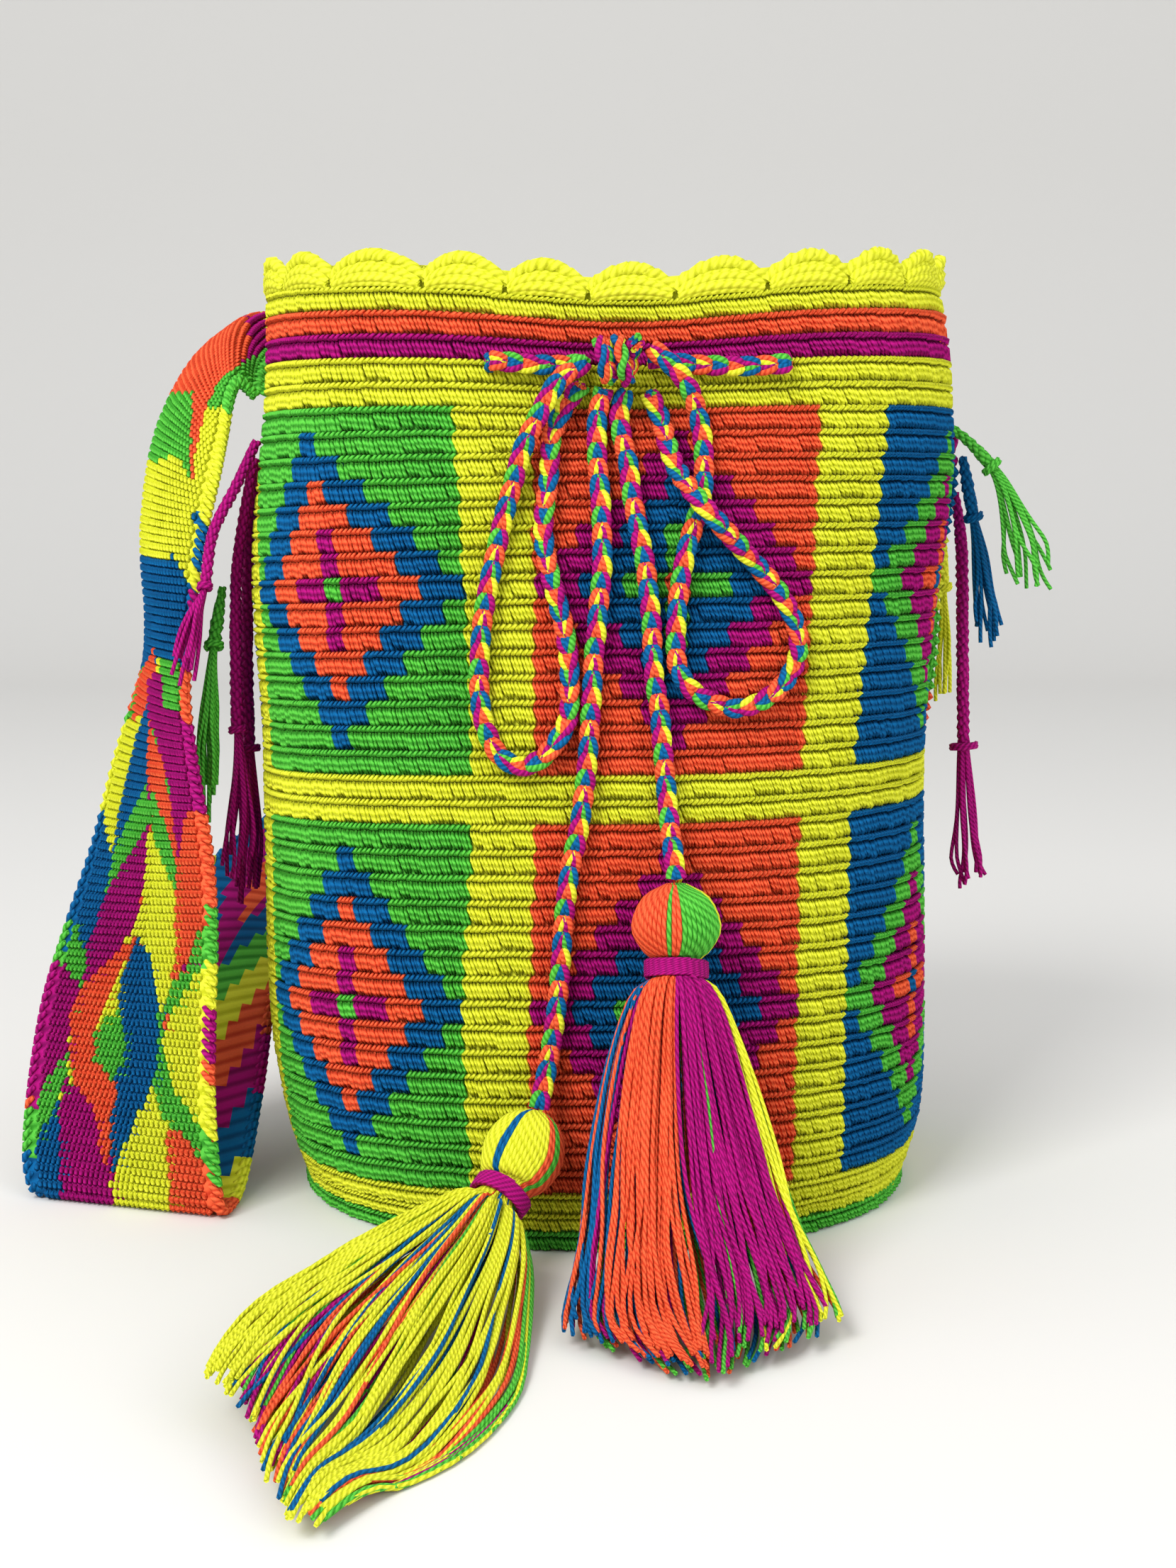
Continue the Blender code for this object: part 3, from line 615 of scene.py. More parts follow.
class Level:
    """A level of the wall, measured along its oval from the middle of the front."""

    def __init__(self, wall: Wall, height: float, samples: int = 720) -> None:
        """Measure the oval.

        Args:
            wall: the wall.
            height: the level's height.
            samples: stretches that the oval is measured in.
        """
        self.wall, self.height = wall, height
        self.angles = np.linspace(0, 2 * math.pi, samples + 1)
        x, y = wall.point(self.angles, height)
        self.lengths = distances(np.stack([x, y], axis=1))
        self.total = self.lengths[-1]
        self.front = y < 0
        self.front_x = x[self.front]

    def mark(self, x: float) -> float:
        """The length at which the oval's front has an X, below 0 on the far side of its middle."""
        length = float(self.lengths[self.front][np.argmin(np.abs(self.front_x - x))])
        return length if length < self.total / 2 else length - self.total


class Course(Level):
    """The top of a row, on which every step of the pattern has its place."""

    def __init__(self, wall: Wall, row: float) -> None:
        """Find the pattern's edges on the row.

        Args:
            wall: the wall.
            row: the row, or a place between two rows.
        """
        super().__init__(wall, float(smooth(LEVELS, row, 2)))
        self.row = row
        steps = [step for step, _x in CROSSINGS[0][1]]
        marks = []
        for k in range(len(steps)):
            edge = [(level, edges[k][1]) for level, edges in CROSSINGS]
            marks.append(self.mark(float(smooth(edge, row, 1))))
        self.steps = np.array([*steps, steps[0] + wall.steps])
        self.marks = np.array([*marks, marks[0] + self.total])

    def place(self, steps: Any, inset: Any = 0.0) -> np.ndarray:
        """Points of the wall at steps of the pattern on this level.

        Args:
            steps: the steps.
            inset: how far the points lie inside the wall's face.

        Returns:
            One point for each step.
        """
        at = (np.asarray(steps, float) - self.steps[0]) % self.wall.steps + self.steps[0]
        length = np.interp(at, self.steps, self.marks) % self.total
        x, y = self.wall.point(np.interp(length, self.lengths, self.angles), self.height, inset)
        return np.stack([x, y, self.wall.row_top(self.row, x, y, self.height)], axis=-1)


@dataclass
class Wall:
    """The bag's crocheted wall: its shape, its rows and its pattern."""

    squareness: float = 2.19  # power of the oval, 2 for an ellipse
    pinch_x: float = 10.0  # X at which the tied cord gathers the front
    pinch_reach: float = 42.0
    pinch_height: float = 34.0
    pinch_rows: float = 9.0  # rows over which the gather fades
    pinch_drop: float = 4.6  # how far it draws the rows down
    pinch_dent: float = 6.0  # how far it draws the front in
    lace_height: float = 250.6
    thickness: float = 3.6
    steps: int = 96  # of the pattern, once round the wall
    repeat: int = 16  # steps in a panel with its stripe
    stripe: int = 3
    rows: int = 40
    tiers: tuple[int, int] = (6, 23)  # first row of each tier of panels
    tier_rows: int = 15

    def oval(self, height: Any) -> tuple[np.ndarray, np.ndarray, np.ndarray]:
        """The middle, half width and half depth of the wall at a height."""
        return smooth(OUTLINE, height, 1), smooth(OUTLINE, height, 2), smooth(OUTLINE, height, 3)

    def pinch(self, x: Any, height: Any) -> np.ndarray:
        """How strongly the drawn cord gathers the front at a place, from 0 to 1."""
        aside, away = (x - self.pinch_x) / self.pinch_reach, (height - self.lace_height) / self.pinch_height
        return np.exp(-(aside**2) - away**2)

    def point(self, along: Any, height: Any, inset: Any = 0.0) -> tuple[np.ndarray, np.ndarray]:
        """X and Y of the wall's oval at angles from the front.

        Args:
            along: the angles.
            height: the level.
            inset: how far the points lie inside the wall's face.

        Returns:
            X and Y.
        """
        middle, half_width, half_depth = self.oval(height)
        side, front = np.sin(along), np.cos(along)
        x = middle + (half_width - inset) * np.sign(side) * np.abs(side) ** (2 / self.squareness)
        y = -(half_depth - inset) * np.sign(front) * np.abs(front) ** (2 / self.squareness)
        return x, np.where(front > 0, y + self.pinch_dent * self.pinch(x, height), y)

    def reach(self, share: Any) -> Any:
        """Share of its half width that the oval has at a share of its half depth, or the other way round."""
        return (1 - share**self.squareness) ** (1 / self.squareness)

    def front(self, x: Any, height: Any) -> np.ndarray:
        """The Y of the front of the wall.

        Args:
            x: X of the places.
            height: their heights.

        Returns:
            The Y of each.
        """
        middle, half_width, half_depth = self.oval(height)
        across = np.minimum(np.abs(x - middle) / half_width, 1.0)
        return -half_depth * self.reach(across) + self.pinch_dent * self.pinch(x, height)

    def row_top(self, row: float, x: np.ndarray, y: np.ndarray, height: float) -> np.ndarray:
        """The height of a row's top at places on the wall.

        Args:
            row: the row.
            x: X of the places.
            y: Y of the places.
            height: the row's height at the front.

        Returns:
            The heights.
        """
        left, front, right = (float(smooth(LEVELS, row, k)) for k in (1, 2, 3))
        middle, half_width, _depth = self.oval(height)
        across = np.clip((x - middle) / half_width, -1, 1)
        side = np.where(across > 0, right, left)
        centre = np.where(y < 0, front, (left + right) / 2)
        gather = np.exp(-(((x - self.pinch_x) / self.pinch_reach) ** 2)) * max(0.0, 1 - row / self.pinch_rows)
        return centre + (side - centre) * across * across - np.where(y < 0, self.pinch_drop * gather, 0.0)


# The pattern


RING, INNER, CROSS, CENTRE = "ring", "inner", "cross", "centre"
DIAMOND = (
    (RING,), (RING, RING), (INNER, RING, RING), (INNER, INNER, RING, RING), (CROSS, INNER, INNER, RING, RING),
    (CROSS, INNER, INNER, INNER, RING, RING), (CENTRE, CROSS, CROSS, INNER, INNER, RING, RING),
)  # half rows of the diamond from its tip to its middle, from the middle outwards
Y, O, M, B, G = Yarn
PANELS = (
    {"ground": G, RING: B, INNER: O, CROSS: M, CENTRE: G},
    {"ground": O, RING: M, INNER: B, CROSS: G, CENTRE: O},
    {"ground": B, RING: G, INNER: M, CROSS: O, CENTRE: B},
)
BANDS = {1: Y, 2: O, 3: M, 4: Y, 5: Y, 21: Y, 22: Y, 38: Y, 39: Y, 40: G}


def colour_of(wall: Wall, row: int, step: float) -> Yarn:
    """The yarn at a row and a step of the pattern.

    Args:
        wall: the wall.
        row: the row, from 1 at the mouth.
        step: the step round the wall.

    Returns:
        The yarn.
    """
    tier = next((first for first in wall.tiers if first <= row < first + wall.tier_rows), None)
    if tier is None:
        return BANDS[row]
    spot = math.floor(step) % wall.repeat
    if spot < wall.stripe:
        return Y
    panel = PANELS[(math.floor(step) // wall.repeat + 1) % len(PANELS)]
    from_middle = abs(spot - wall.stripe - (wall.repeat - wall.stripe) // 2)
    from_tip = min(row - tier, tier + wall.tier_rows - 1 - row) - 1
    if 0 <= from_tip < len(DIAMOND) and from_middle < len(DIAMOND[from_tip]):
        return panel[DIAMOND[from_tip][from_middle]]
    return panel["ground"]


@dataclass
class Stitches:
    """Single crochet: every stitch has two grains of chain at its top and three yarns of its post below."""

    wall: Wall
    across: int = 192  # stitches in a row
    rows_apiece: int = 10  # rows in a piece, so that none is too large
    relief: float = 1.0
    inset: float = 1.2  # of the stitches' roots in the wall's face
    grain: tuple[float, float] = (0.42, 0.13)  # half length of a chain grain: share of a stitch and of a row
    grain_radius: float = 0.8
    ply_radius: float = 0.8
    ply_turn: float = 1.9  # mm of a stitch's yarn in which its plies go round once
    cell: tuple[float, float] = (3.3, 6.9)  # width and height of a usual stitch, for round spindles

    def template(self) -> Object:
        """One stitch in a cell one unit wide and high, whose depth is in millimetres.

        Returns:
            The template's object.
        """
        verts: list[tuple[float, float, float]] = []
        faces: list[tuple[int, ...]] = []
        lay: list[tuple[float, float, float]] = []
        for middle in (-0.25, 0.25):
            dx, dz = self.grain
            line = [(middle - dx, 0.55, -0.15 - dz), (middle - dx / 2, 1.25, -0.15 - dz / 2),
                    (middle + dx / 2, 1.45, -0.15 + dz / 2), (middle + dx, 0.75, -0.15 + dz)]
            self.spindle(line, self.grain_radius, verts, faces, lay)
        for left in (-0.34, 0.0, 0.34):
            bulge = 1.3 - 1.5 * abs(left)
            line = [(left - 0.36, 0.3, -0.18), (left - 0.14, bulge, -0.45), (left * 0.9 + 0.2, bulge, -0.85),
                    (left * 0.7 + 0.38, 0.0, -1.16)]
            self.spindle(line, self.ply_radius, verts, faces, lay)
        mesh = bpy.data.meshes.new("stitch")
        mesh.from_pydata(verts, [], faces)
        keep(mesh, "lay", lay)
        return bpy.data.objects.new("stitch", mesh)

    def spindle(self, line: Sequence[tuple[float, float, float]], radius: float, verts: list, faces: list,
                lay: list) -> None:
        """Add a three-sided spindle with pointed ends, one edge of which faces out.

        Args:
            line: its start, two rings and its end, across and up in shares of the cell, out in millimetres.
            radius: the rings' radius in millimetres.
            verts: the template's points so far.
            faces: its faces so far.
            lay: the lay of the plies at its points so far.
        """
        wide, high = self.cell
        start = len(verts)
        p = [np.array([-x * wide, y, z * high]) for x, y, z in line]
        axis = unit(p[2] - p[1])
        outward = unit(np.array([0, 1.0, 0]) - axis * axis[1])
        side = np.cross(axis, outward)
        points, round_ = [p[0]], [(0, 0)]
        for ring in (p[1], p[2]):
            for turn in (0, 2 * math.pi / 3, 4 * math.pi / 3):
                points.append(ring + radius * (outward * math.cos(turn) + side * math.sin(turn)))
                round_.append((math.cos(turn), math.sin(turn)))
        points.append(p[3])
        round_.append((0, 0))
        for q, r in zip(points, round_):
            verts.append((q[0] / wide, q[1], q[2] / high))
            lay.append((*r, float((q - p[0]) @ axis) / self.ply_turn))
        for k in range(3):
            a, b = start + 1 + k, start + 1 + (k + 1) % 3
            faces += [(start, a, b), (b, a, a + 3, b + 3), (b + 3, a + 3, start + 7)]

    def tree(self) -> NodeTree:
        """The tree that sets a stitch on every point of its guide.

        Returns:
            The tree.
        """
        sizes = (("Stitch", "NodeSocketObject", None), ("Relief", "NodeSocketFloat", 1.0),
                 ("Unevenness", "NodeSocketFloat", 0.1), ("Seed", "NodeSocketInt", SEED))
        tree, given = start_tree("crochet", sizes)
        kept = {"data_type": "FLOAT_VECTOR"}
        outward, back, size = (out(add(tree, "GeometryNodeInputNamedAttribute", kept, Name=name), "Attribute")
                               for name in ("outward", "back", "size"))
        turn = add(tree, "FunctionNodeAxesToRotation", {"primary_axis": "Y", "secondary_axis": "X"},
                   Primary_Axis=outward, Secondary_Axis=back)
        size = add(tree, "ShaderNodeVectorMath", {"operation": "MULTIPLY"}, in0=size,
                   in1=out(add(tree, "ShaderNodeCombineXYZ", X=1.0, Y=given["Relief"], Z=1.0)))
        low = add(tree, "ShaderNodeMath", {"operation": "SUBTRACT"}, in0=1.0, in1=given["Unevenness"])
        high = add(tree, "ShaderNodeMath", {"operation": "ADD"}, in0=1.0, in1=given["Unevenness"])
        chance = add(tree, "FunctionNodeRandomValue", kept, Min=(0, 0, 0), Max=(1, 1, 1), Seed=given["Seed"])
        tree.links.new(out(low), chance.inputs[0])
        tree.links.new(out(high), chance.inputs[1])
        size = add(tree, "ShaderNodeVectorMath", {"operation": "MULTIPLY"}, in0=out(size), in1=out(chance))
        stitch = add(tree, "GeometryNodeObjectInfo", Object=given["Stitch"])
        points = add(tree, "GeometryNodeMeshToPoints", Mesh=given["Geometry"])
        set_on = add(tree, "GeometryNodeInstanceOnPoints", Points=out(points), Rotation=out(turn),
                     Instance=out(stitch, "Geometry"), Scale=out(size))
        dress(tree, out(set_on))
        return tree

    def guide(self, rows: range) -> Mesh:
        """A point for each stitch of some rows, with its directions, size and yarn.

        Args:
            rows: the rows.

        Returns:
            The guide.
        """
        steps = (np.arange(self.across) + 0.5) * self.wall.steps / self.across
        half = self.wall.steps / self.across / 2
        middles, along, up, yarns = [], [], [], []
        for row in rows:
            top, foot = Course(self.wall, row), Course(self.wall, row + 1)
            middles.append(top.place(steps, self.inset))
            along.append(top.place(steps + half) - top.place(steps - half))
            below = foot.place(steps) if row < self.wall.rows else top.place(steps) * (1, 1, 0)
            up.append(top.place(steps) - below)
            yarns += [colour_of(self.wall, row, s).value for s in steps]
        middle, along_, up_ = (np.vstack(x) for x in (middles, along, up))
        outward = unit(np.cross(along_, up_))
        wide, high = np.linalg.norm(along_, axis=1), np.linalg.norm(up_, axis=1)
        size = np.stack([wide, np.ones(len(middle)), high], axis=1)
        return stitch_guide(middle, outward, -unit(along_), size, yarns)

    def make(self) -> list[Object]:
        """Crochet the whole wall.

        Returns:
            Its pieces, each a few rows high.
        """
        tree, stitch = self.tree(), self.template()
        made = []
        for first in range(1, self.wall.rows + 1, self.rows_apiece):
            rows = range(first, min(first + self.rows_apiece, self.wall.rows + 1))
            inputs = {"Stitch": stitch, "Relief": self.relief}
            made.append(run_tree(f"crochet_rows_{first:02d}", self.guide(rows), tree, inputs))
        bpy.data.objects.remove(stitch)
        return made


@dataclass
class Cloth:
    """The ground of the crochet: what shows between the stitches, and the inside of the bag."""

    wall: Wall
    sunk: float = 1.6  # of its outer face under the wall's
    ridge: float = 0.8  # of each row on the inside
    rim: float = 6.2  # height of its edge over the first row
    base_rings: int = 20
    base_relief: float = 0.35

    def make(self) -> Object:
        """One closed shell from the rim down the outside, under the base and up the inside.

        Returns:
            The piece.
        """
        n = self.wall.steps
        steps = np.arange(n) + 0.0
        rings = [Course(self.wall, 1).place(steps, self.wall.thickness / 2) + (0, 0, self.rim)]
        yarns = [[Y.value] * n]
        for row in range(1, self.wall.rows + 1):
            rings.append(Course(self.wall, row).place(steps, self.sunk))
            yarns.append([colour_of(self.wall, row, s).value for s in steps])
        base = self.disc(steps)
        rings += base
        yarns += [[(O if k % 3 == 1 else G).value] * n for k in range(len(base))]
        inner = []
        for row in range(self.wall.rows - 1, 0, -1):
            for part, inset in ((0.75, 0.0), (0.25, self.ridge)):
                inner.append(Course(self.wall, row + part).place(steps, self.wall.thickness - inset))
                yarns.append([colour_of(self.wall, row, s).value for s in steps])
        rings += inner
        return self.close(rings, yarns, n)

    def disc(self, steps: np.ndarray) -> list[np.ndarray]:
        """Rings of the base: out to its middle underneath, and back to the wall on the inside.

        Args:
            steps: the steps round a ring.

        Returns:
            The rings.
        """
        foot = Course(self.wall, self.wall.rows).place(steps, 0)
        centre = np.array([self.wall.oval(0)[0], 0.0, 0.0])
        flat = foot * (1, 1, 0)
        under = [centre + (flat - centre) * share + np.array([0, 0, lift])
                 for share, lift in self.spiral(0.97)]
        over = [centre + (flat - centre) * share + np.array([0, 0, self.wall.thickness + lift])
                for share, lift in reversed(self.spiral(0.93))]
        return under + over

    def spiral(self, widest: float) -> list[tuple[float, float]]:
        """Share of the radius and lift of each ring of the base, from the widest inwards."""
        count = self.base_rings
        return [(widest * (count - k) / count + 0.002, self.base_relief if k % 2 else 0.0)
                for k in range(count)]

    def close(self, rings: list[np.ndarray], yarns: list[list[int]], n: int) -> Object:
        """Join rings into a closed mesh with a material for each yarn.

        Args:
            rings: the rings, from the rim round to the rim again.
            yarns: the yarn of each face below a ring.
            n: points in a ring.

        Returns:
            The piece.
        """
        faces, slots = [], []
        count = len(rings)
        for i in range(count):
            j = (i + 1) % count
            for k in range(n):
                after = (k + 1) % n
                faces.append((i * n + k, j * n + k, j * n + after, i * n + after))
                slots.append(yarns[min(i, len(yarns) - 1)][k])
        return closed_cloth("crochet_ground", np.array(rings), faces, slots, 0.8)


# The drawstring


@dataclass
class Route:
    """A stretch of the drawstring over the front of the wall: X, Z and how far it is lifted off the wall."""

    points: Sequence[tuple[float, float, float]]

    def line(self, wall: Wall, diameter: float) -> np.ndarray:
        """The middle of the cord, as the CAD source lays it.

        Args:
            wall: the wall that it lies on.
            diameter: the cord's diameter.

        Returns:
            The route's points.
        """
        p = np.array(self.points, float)
        y = wall.front(p[:, 0], p[:, 1]) - (diameter / 2 + GAP + CHAIN) - p[:, 2]
        return np.stack([p[:, 0], y, p[:, 1]], axis=1)


LACE_LEFT = Route(((-27, 251.4, 0), (-20, 250.8, 0), (-10, 250.2, 0), (0, 250.6, 0)))
LACE_RIGHT = Route(((17.4, 252, 0), (24, 251, 0), (34, 250.2, 0), (45, 250, 0), (56, 250.8, 0)))
LOOP_LEFT = Route((
    (-0.6, 250.6, 6.6), (-7.6, 246, 6.4), (-12.6, 238.2, 6.2), (-18, 227, 3.6), (-21.5, 215.2, 1),
    (-24.5, 204, 0), (-27.3, 191.2, 0), (-29.3, 181, 0), (-30.3, 170.6, 0), (-30.6, 161, 0),
    (-29.4, 151, 0), (-25.8, 142.4, 0), (-19.8, 138.3, 0), (-13.8, 139.9, 0), (-8.8, 145.1, 0),
    (-5.6, 151.4, 0), (-5, 158.6, 0), (-5.2, 167, 0), (-6.6, 177, 0), (-9, 186.1, 0),
    (-11.2, 194.7, 0), (-12.4, 203.2, 0), (-12, 210.1, 0), (-11, 217, 0), (-10.6, 224, 0),
    (-9.8, 231, 0), (-6.4, 238.6, 0), (-1.6, 244.6, 0),
))
LOOP_RIGHT = Route((
    (17.8, 254.6, 6.6), (23, 250, 6.8), (28, 244, 4.6), (30.6, 237.3, 1.6), (32, 230.6, 0),
    (32.6, 222, 0), (32, 213.5, 0), (30.1, 206.6, 0), (27.5, 198.1, 0), (25.9, 189.6, 0),
    (24.9, 181, 0), (24.5, 172.5, 0), (25.3, 165.5, 0), (28.7, 159.8, 0), (34.5, 156.2, 0),
    (41.6, 154.2, 0), (48.5, 155.9, 0), (54.7, 160.2, 0), (58.9, 166.8, 0), (59.6, 173.8, 0),
    (57.4, 180.6, 0), (53, 187.7, 0), (46.8, 194.7, 0.6), (40.5, 201.4, 3.6), (34.9, 207.4, 6.4),
    (29.6, 213.6, 6.2), (25, 220.3, 3), (22.3, 227.6, 0.6), (20.4, 234.9, 0), (17.2, 242.4, 0.6),
))
TAIL_LEFT = Route((
    (4.4, 243.2, 1.4), (2.6, 235, 0.4), (2.6, 224.4, 0), (3.4, 214, 0), (3.9, 204, 0),
    (3.9, 193, 0), (2.8, 181, 0), (1.6, 168, 0), (0.9, 156, 0), (0.1, 143.6, 0), (-1.1, 131, 0),
    (-2.8, 119.6, 0), (-5.1, 109.4, 0), (-6.5, 98, 0), (-7.4, 87, 0), (-8.2, 76, 0),
    (-9.6, 65, 0), (-11, 56, 1), (-12.6, 49, 4.6), (-13.6, 44.6, 8.2),
))
TAIL_RIGHT = Route((
    (10.6, 242.6, 0.6), (8.8, 236.6, 0), (9.6, 229.5, 0), (11.4, 222, 0), (12.2, 214, 0),
    (13.9, 205, 0), (15.5, 197, 0), (16.7, 188.6, 0), (17.6, 180, 0), (18, 171, 0), (18.6, 162, 0),
    (20.1, 153, 0), (20.8, 143.6, 0), (21.8, 133, 0), (22.8, 121.1, 3), (23.7, 114, 8.4), (24.2, 108.4, 11.8),
))


@dataclass
class Drawstring:
    """The drawstring: a plump four-strand plait of mixed yarns, laced round the mouth and tied in a bow."""

    wall: Wall
    sweep: Sweep
    diameter: float = 5.4
    knot: tuple[float, float] = (8.5, 251.0)  # X and Z of its middle
    knot_half: tuple[float, float, float] = (7.4, 6.0, 6.4)
    lace_ends: tuple[float, float] = (-30.0, 59.0)  # X at which the cord goes through the wall
    plait: float = 18.4  # length in which a strand comes back to its place
    strand: float = 1.6
    step: float = 1.2  # between two points of the line that the strands follow
    colours: Sequence[Sequence[Yarn]] = ((B, M), (O, Y), (G, B), (M, O))  # the two yarns of each strand

    def braid(self, name: str, line: np.ndarray, turned: float = 0.0) -> Object:
        """Plait strands along a line.

        Args:
            name: the piece's name.
            line: points in the middle of the cord.
            turned: where in the plait the line starts, in radians.

        Returns:
            The piece.
        """
        _ahead, across, off = frames(line)
        lengths, count = distances(line), len(self.colours)
        wide, deep = self.diameter / 2 - self.strand * 0.8, self.strand * 0.7
        strands = Strands()
        for k, pair in enumerate(self.colours):
            phase = 2 * math.pi * (lengths / self.plait + k / count) + turned
            middle = line + across * (wide * np.sin(phase))[:, None]
            middle = middle + off * (deep * np.sin(2 * phase))[:, None]
            side = unit(np.cross(off, unit(np.gradient(middle, axis=0))))
            on_top = 0.5 + 0.5 * np.sin(2 * phase)
            for hand, yarn in zip((-1, 1), pair):
                lobe = middle + side * (hand * self.strand * (0.25 + 0.13 * on_top))[:, None]
                strands.put(lobe, self.strand * (0.56 + 0.14 * on_top), yarn)
        return self.sweep.make(name, strands, 6, 1.4)

    def lace(self) -> np.ndarray:
        """The laced stretch: from the knot to the left, round the inside of the mouth, and to the knot again.

        Returns:
            Its points.
        """
        level = Level(self.wall, self.wall.lace_height, 1440)
        ends = [level.mark(x) for x in self.lace_ends]
        run = level.total - (ends[1] - ends[0])
        at = (ends[0] - np.linspace(0, run, 44)) % level.total
        inset = self.wall.thickness + GAP + self.diameter / 2 + CHAIN
        x, y = self.wall.point(np.interp(at, level.lengths, level.angles), level.height, inset)
        inside = np.stack([x, y, np.full(len(x), level.height)], axis=1)
        left = LACE_LEFT.line(self.wall, self.diameter)[::-1]
        right = LACE_RIGHT.line(self.wall, self.diameter)[::-1]
        return spaced(np.vstack([left, inside, right]), self.step)

    def make(self, ends: dict[str, list[Object]]) -> list[Object]:
        """Args:
            ends: what is on the end of each tail.

        Returns:
            Its pieces.
        """
        made = []
        lace = self.lace()
        piece = self.braid("drawstring_lace", lace)
        knot = self.knot_wraps()
        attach(knot, "root")
        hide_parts("bow_knot")
        nodes = ("drawstring_inside", "drawstring_front_left", "drawstring_front_right")
        self.declare(piece, lace, nodes, "object", [])
        made.append(piece)
        for name, route, turned in (("bow_loop_left", LOOP_LEFT, 0.4), ("bow_loop_right", LOOP_RIGHT, 2.0),
                                    ("tail_left", TAIL_LEFT, 1.0), ("tail_right", TAIL_RIGHT, 3.4)):
            line = spaced(route.line(self.wall, self.diameter), self.step)
            piece = self.braid(name + "_plait", line, turned)
            self.declare(piece, line, (name,), "knot" if "tail" in name else "object", ends.get(name, []))
            made.append(piece)
        return made

    def knot_wraps(self) -> Object:
        """The bow's knot: the cord goes over the front twice, and once across.

        Returns:
            The piece.
        """
        x, z = self.knot
        half_x, half_y, half_z = self.knot_half
        middle = np.array([x, float(self.wall.front(x, z)) - CHAIN - GAP - half_y - self.diameter, z])
        t = np.linspace(0, 1, 60)
        turn = 2 * np.pi * (2.1 * t + 0.2)
        reach_y, reach_z = half_y - self.strand * 1.2, half_z - self.strand * 1.1
        aside = (half_x - 2.6) * (1 - 2 * t)
        over = np.stack([aside, -reach_y * np.cos(turn), reach_z * np.sin(turn)], axis=1)
        return self.braid("bow_knot_wraps", middle + over, 0.6)

    def declare(self, piece: Object, line: np.ndarray, nodes: Sequence[str], far_end: str,
                ends: Sequence[Object]) -> None:
        """Parent a stretch of the cord to the root and hide the CAD nodes that it stands for.

        Args:
            piece: the stretch.
            line: its middle, from where it leaves the knot.
            nodes: the CAD nodes that it stands for.
            far_end: what its other end is; not used.
            ends: the pieces that are on it there.
        """
        long = round(float(distances(line)[-1]) * MM, 3)
        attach(piece, "root")
        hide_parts(*nodes)
        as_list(ends)


# Scalloped edge


@dataclass
class Shells:
    """The scalloped edge: one shell of long stitches after another, bordered by a plump chain."""

    wall: Wall
    sweep: Sweep
    valleys: tuple[float, ...] = (-75.0, -47.2, -23.1, -0.3, 25.0, 50.7, 75.0)  # X between two front shells
    count: int = 24
    height: float = 11.0  # of a shell over the first row
    border: float = 1.55  # radius of the chain's two strands
    layers: int = 5  # yarns one over another inside a shell
    inner: float = 1.15  # radius of each
    foot: float = 2.4  # height at which two shells meet

    def marks(self, course: Course) -> np.ndarray:
        """Lengths along the rim at which one shell meets the next.

        Args:
            course: the rim's level.

        Returns:
            The lengths, one more than there are shells.
        """
        found = [course.mark(x) for x in self.valleys]
        rest = self.count - len(found) + 1
        return np.concatenate([found, np.linspace(found[-1], found[0] + course.total, rest + 1)[1:]])

    def at(self, course: Course, length: np.ndarray, rise: Any, out_: Any) -> np.ndarray:
        """Points over the rim.

        Args:
            course: the rim's level.
            length: places along the rim.
            rise: heights over the first row.
            out_: how far the points stand out of the wall's face.

        Returns:
            The points.
        """
        angle = np.interp(length % course.total, course.lengths, course.angles)
        x, y = self.wall.point(angle, course.height, -np.asarray(out_, float))
        top = self.wall.row_top(1, *self.wall.point(angle, course.height), course.height)
        return np.stack([x, y, top + rise], axis=-1)

    def shell(self, strands: Strands, course: Course, start: float, end: float) -> None:
        """Crochet one shell.

        Args:
            strands: where its yarns go.
            course: the rim's level.
            start: the length at which it starts.
            end: the length at which it ends.
        """
        t = np.linspace(0, 1, 13)
        arch = np.sin(np.pi * t) ** 0.62
        length = start + (end - start) * (t + 0.035 * np.sin(2 * np.pi * t))
        over = self.height - self.foot - self.border * 1.5
        for k in range(2):
            twist = 2 * np.pi * (t * 3.2) + np.pi * k
            rise = over * arch + self.foot + 0.7 * np.sin(twist)
            stand = -1.2 + 1.6 * arch + 0.7 * np.cos(twist)
            strands.put(self.at(course, length, rise, stand), self.border * (0.78 + 0.22 * arch), Y)
        arch = np.sin(np.pi * t) ** 0.7
        for k in range(1, self.layers + 1):
            share = k / (self.layers + 1)
            rise = self.foot * (share - 0.2) + (self.height - self.border * 2 - self.foot) * share * arch
            stand = 0.2 + 0.9 * np.sin(np.pi * share) * arch + 0.25 * (-1) ** k
            line = self.at(course, start + (end - start) * (0.04 + 0.92 * t), rise, stand)
            strands.put(line, self.inner * (0.75 + 0.25 * arch), Y)

    def make(self) -> Object:
        """Crochet the whole edge.

        Returns:
            The piece.
        """
        course = Course(self.wall, 1)
        marks = self.marks(course)
        strands = Strands()
        for start, end in zip(marks, marks[1:]):
            self.shell(strands, course, start, end)
        return self.sweep.make("crochet_shells", strands, 6, 2.6)


# Tassels


@dataclass(frozen=True)
class Lock:
    """Strands of a tassel's skirt that lie together. Places across it run from 1 at the left to -1."""

    yarns: tuple[Yarn, ...]
    count: int
    neck: tuple[float, float]
    middle: tuple[float, float]
    end: tuple[float, float]
    layer: float  # 1 on top of the skirt, -1 under it
    reach: tuple[float, float]  # shortest and longest, as a share of the skirt


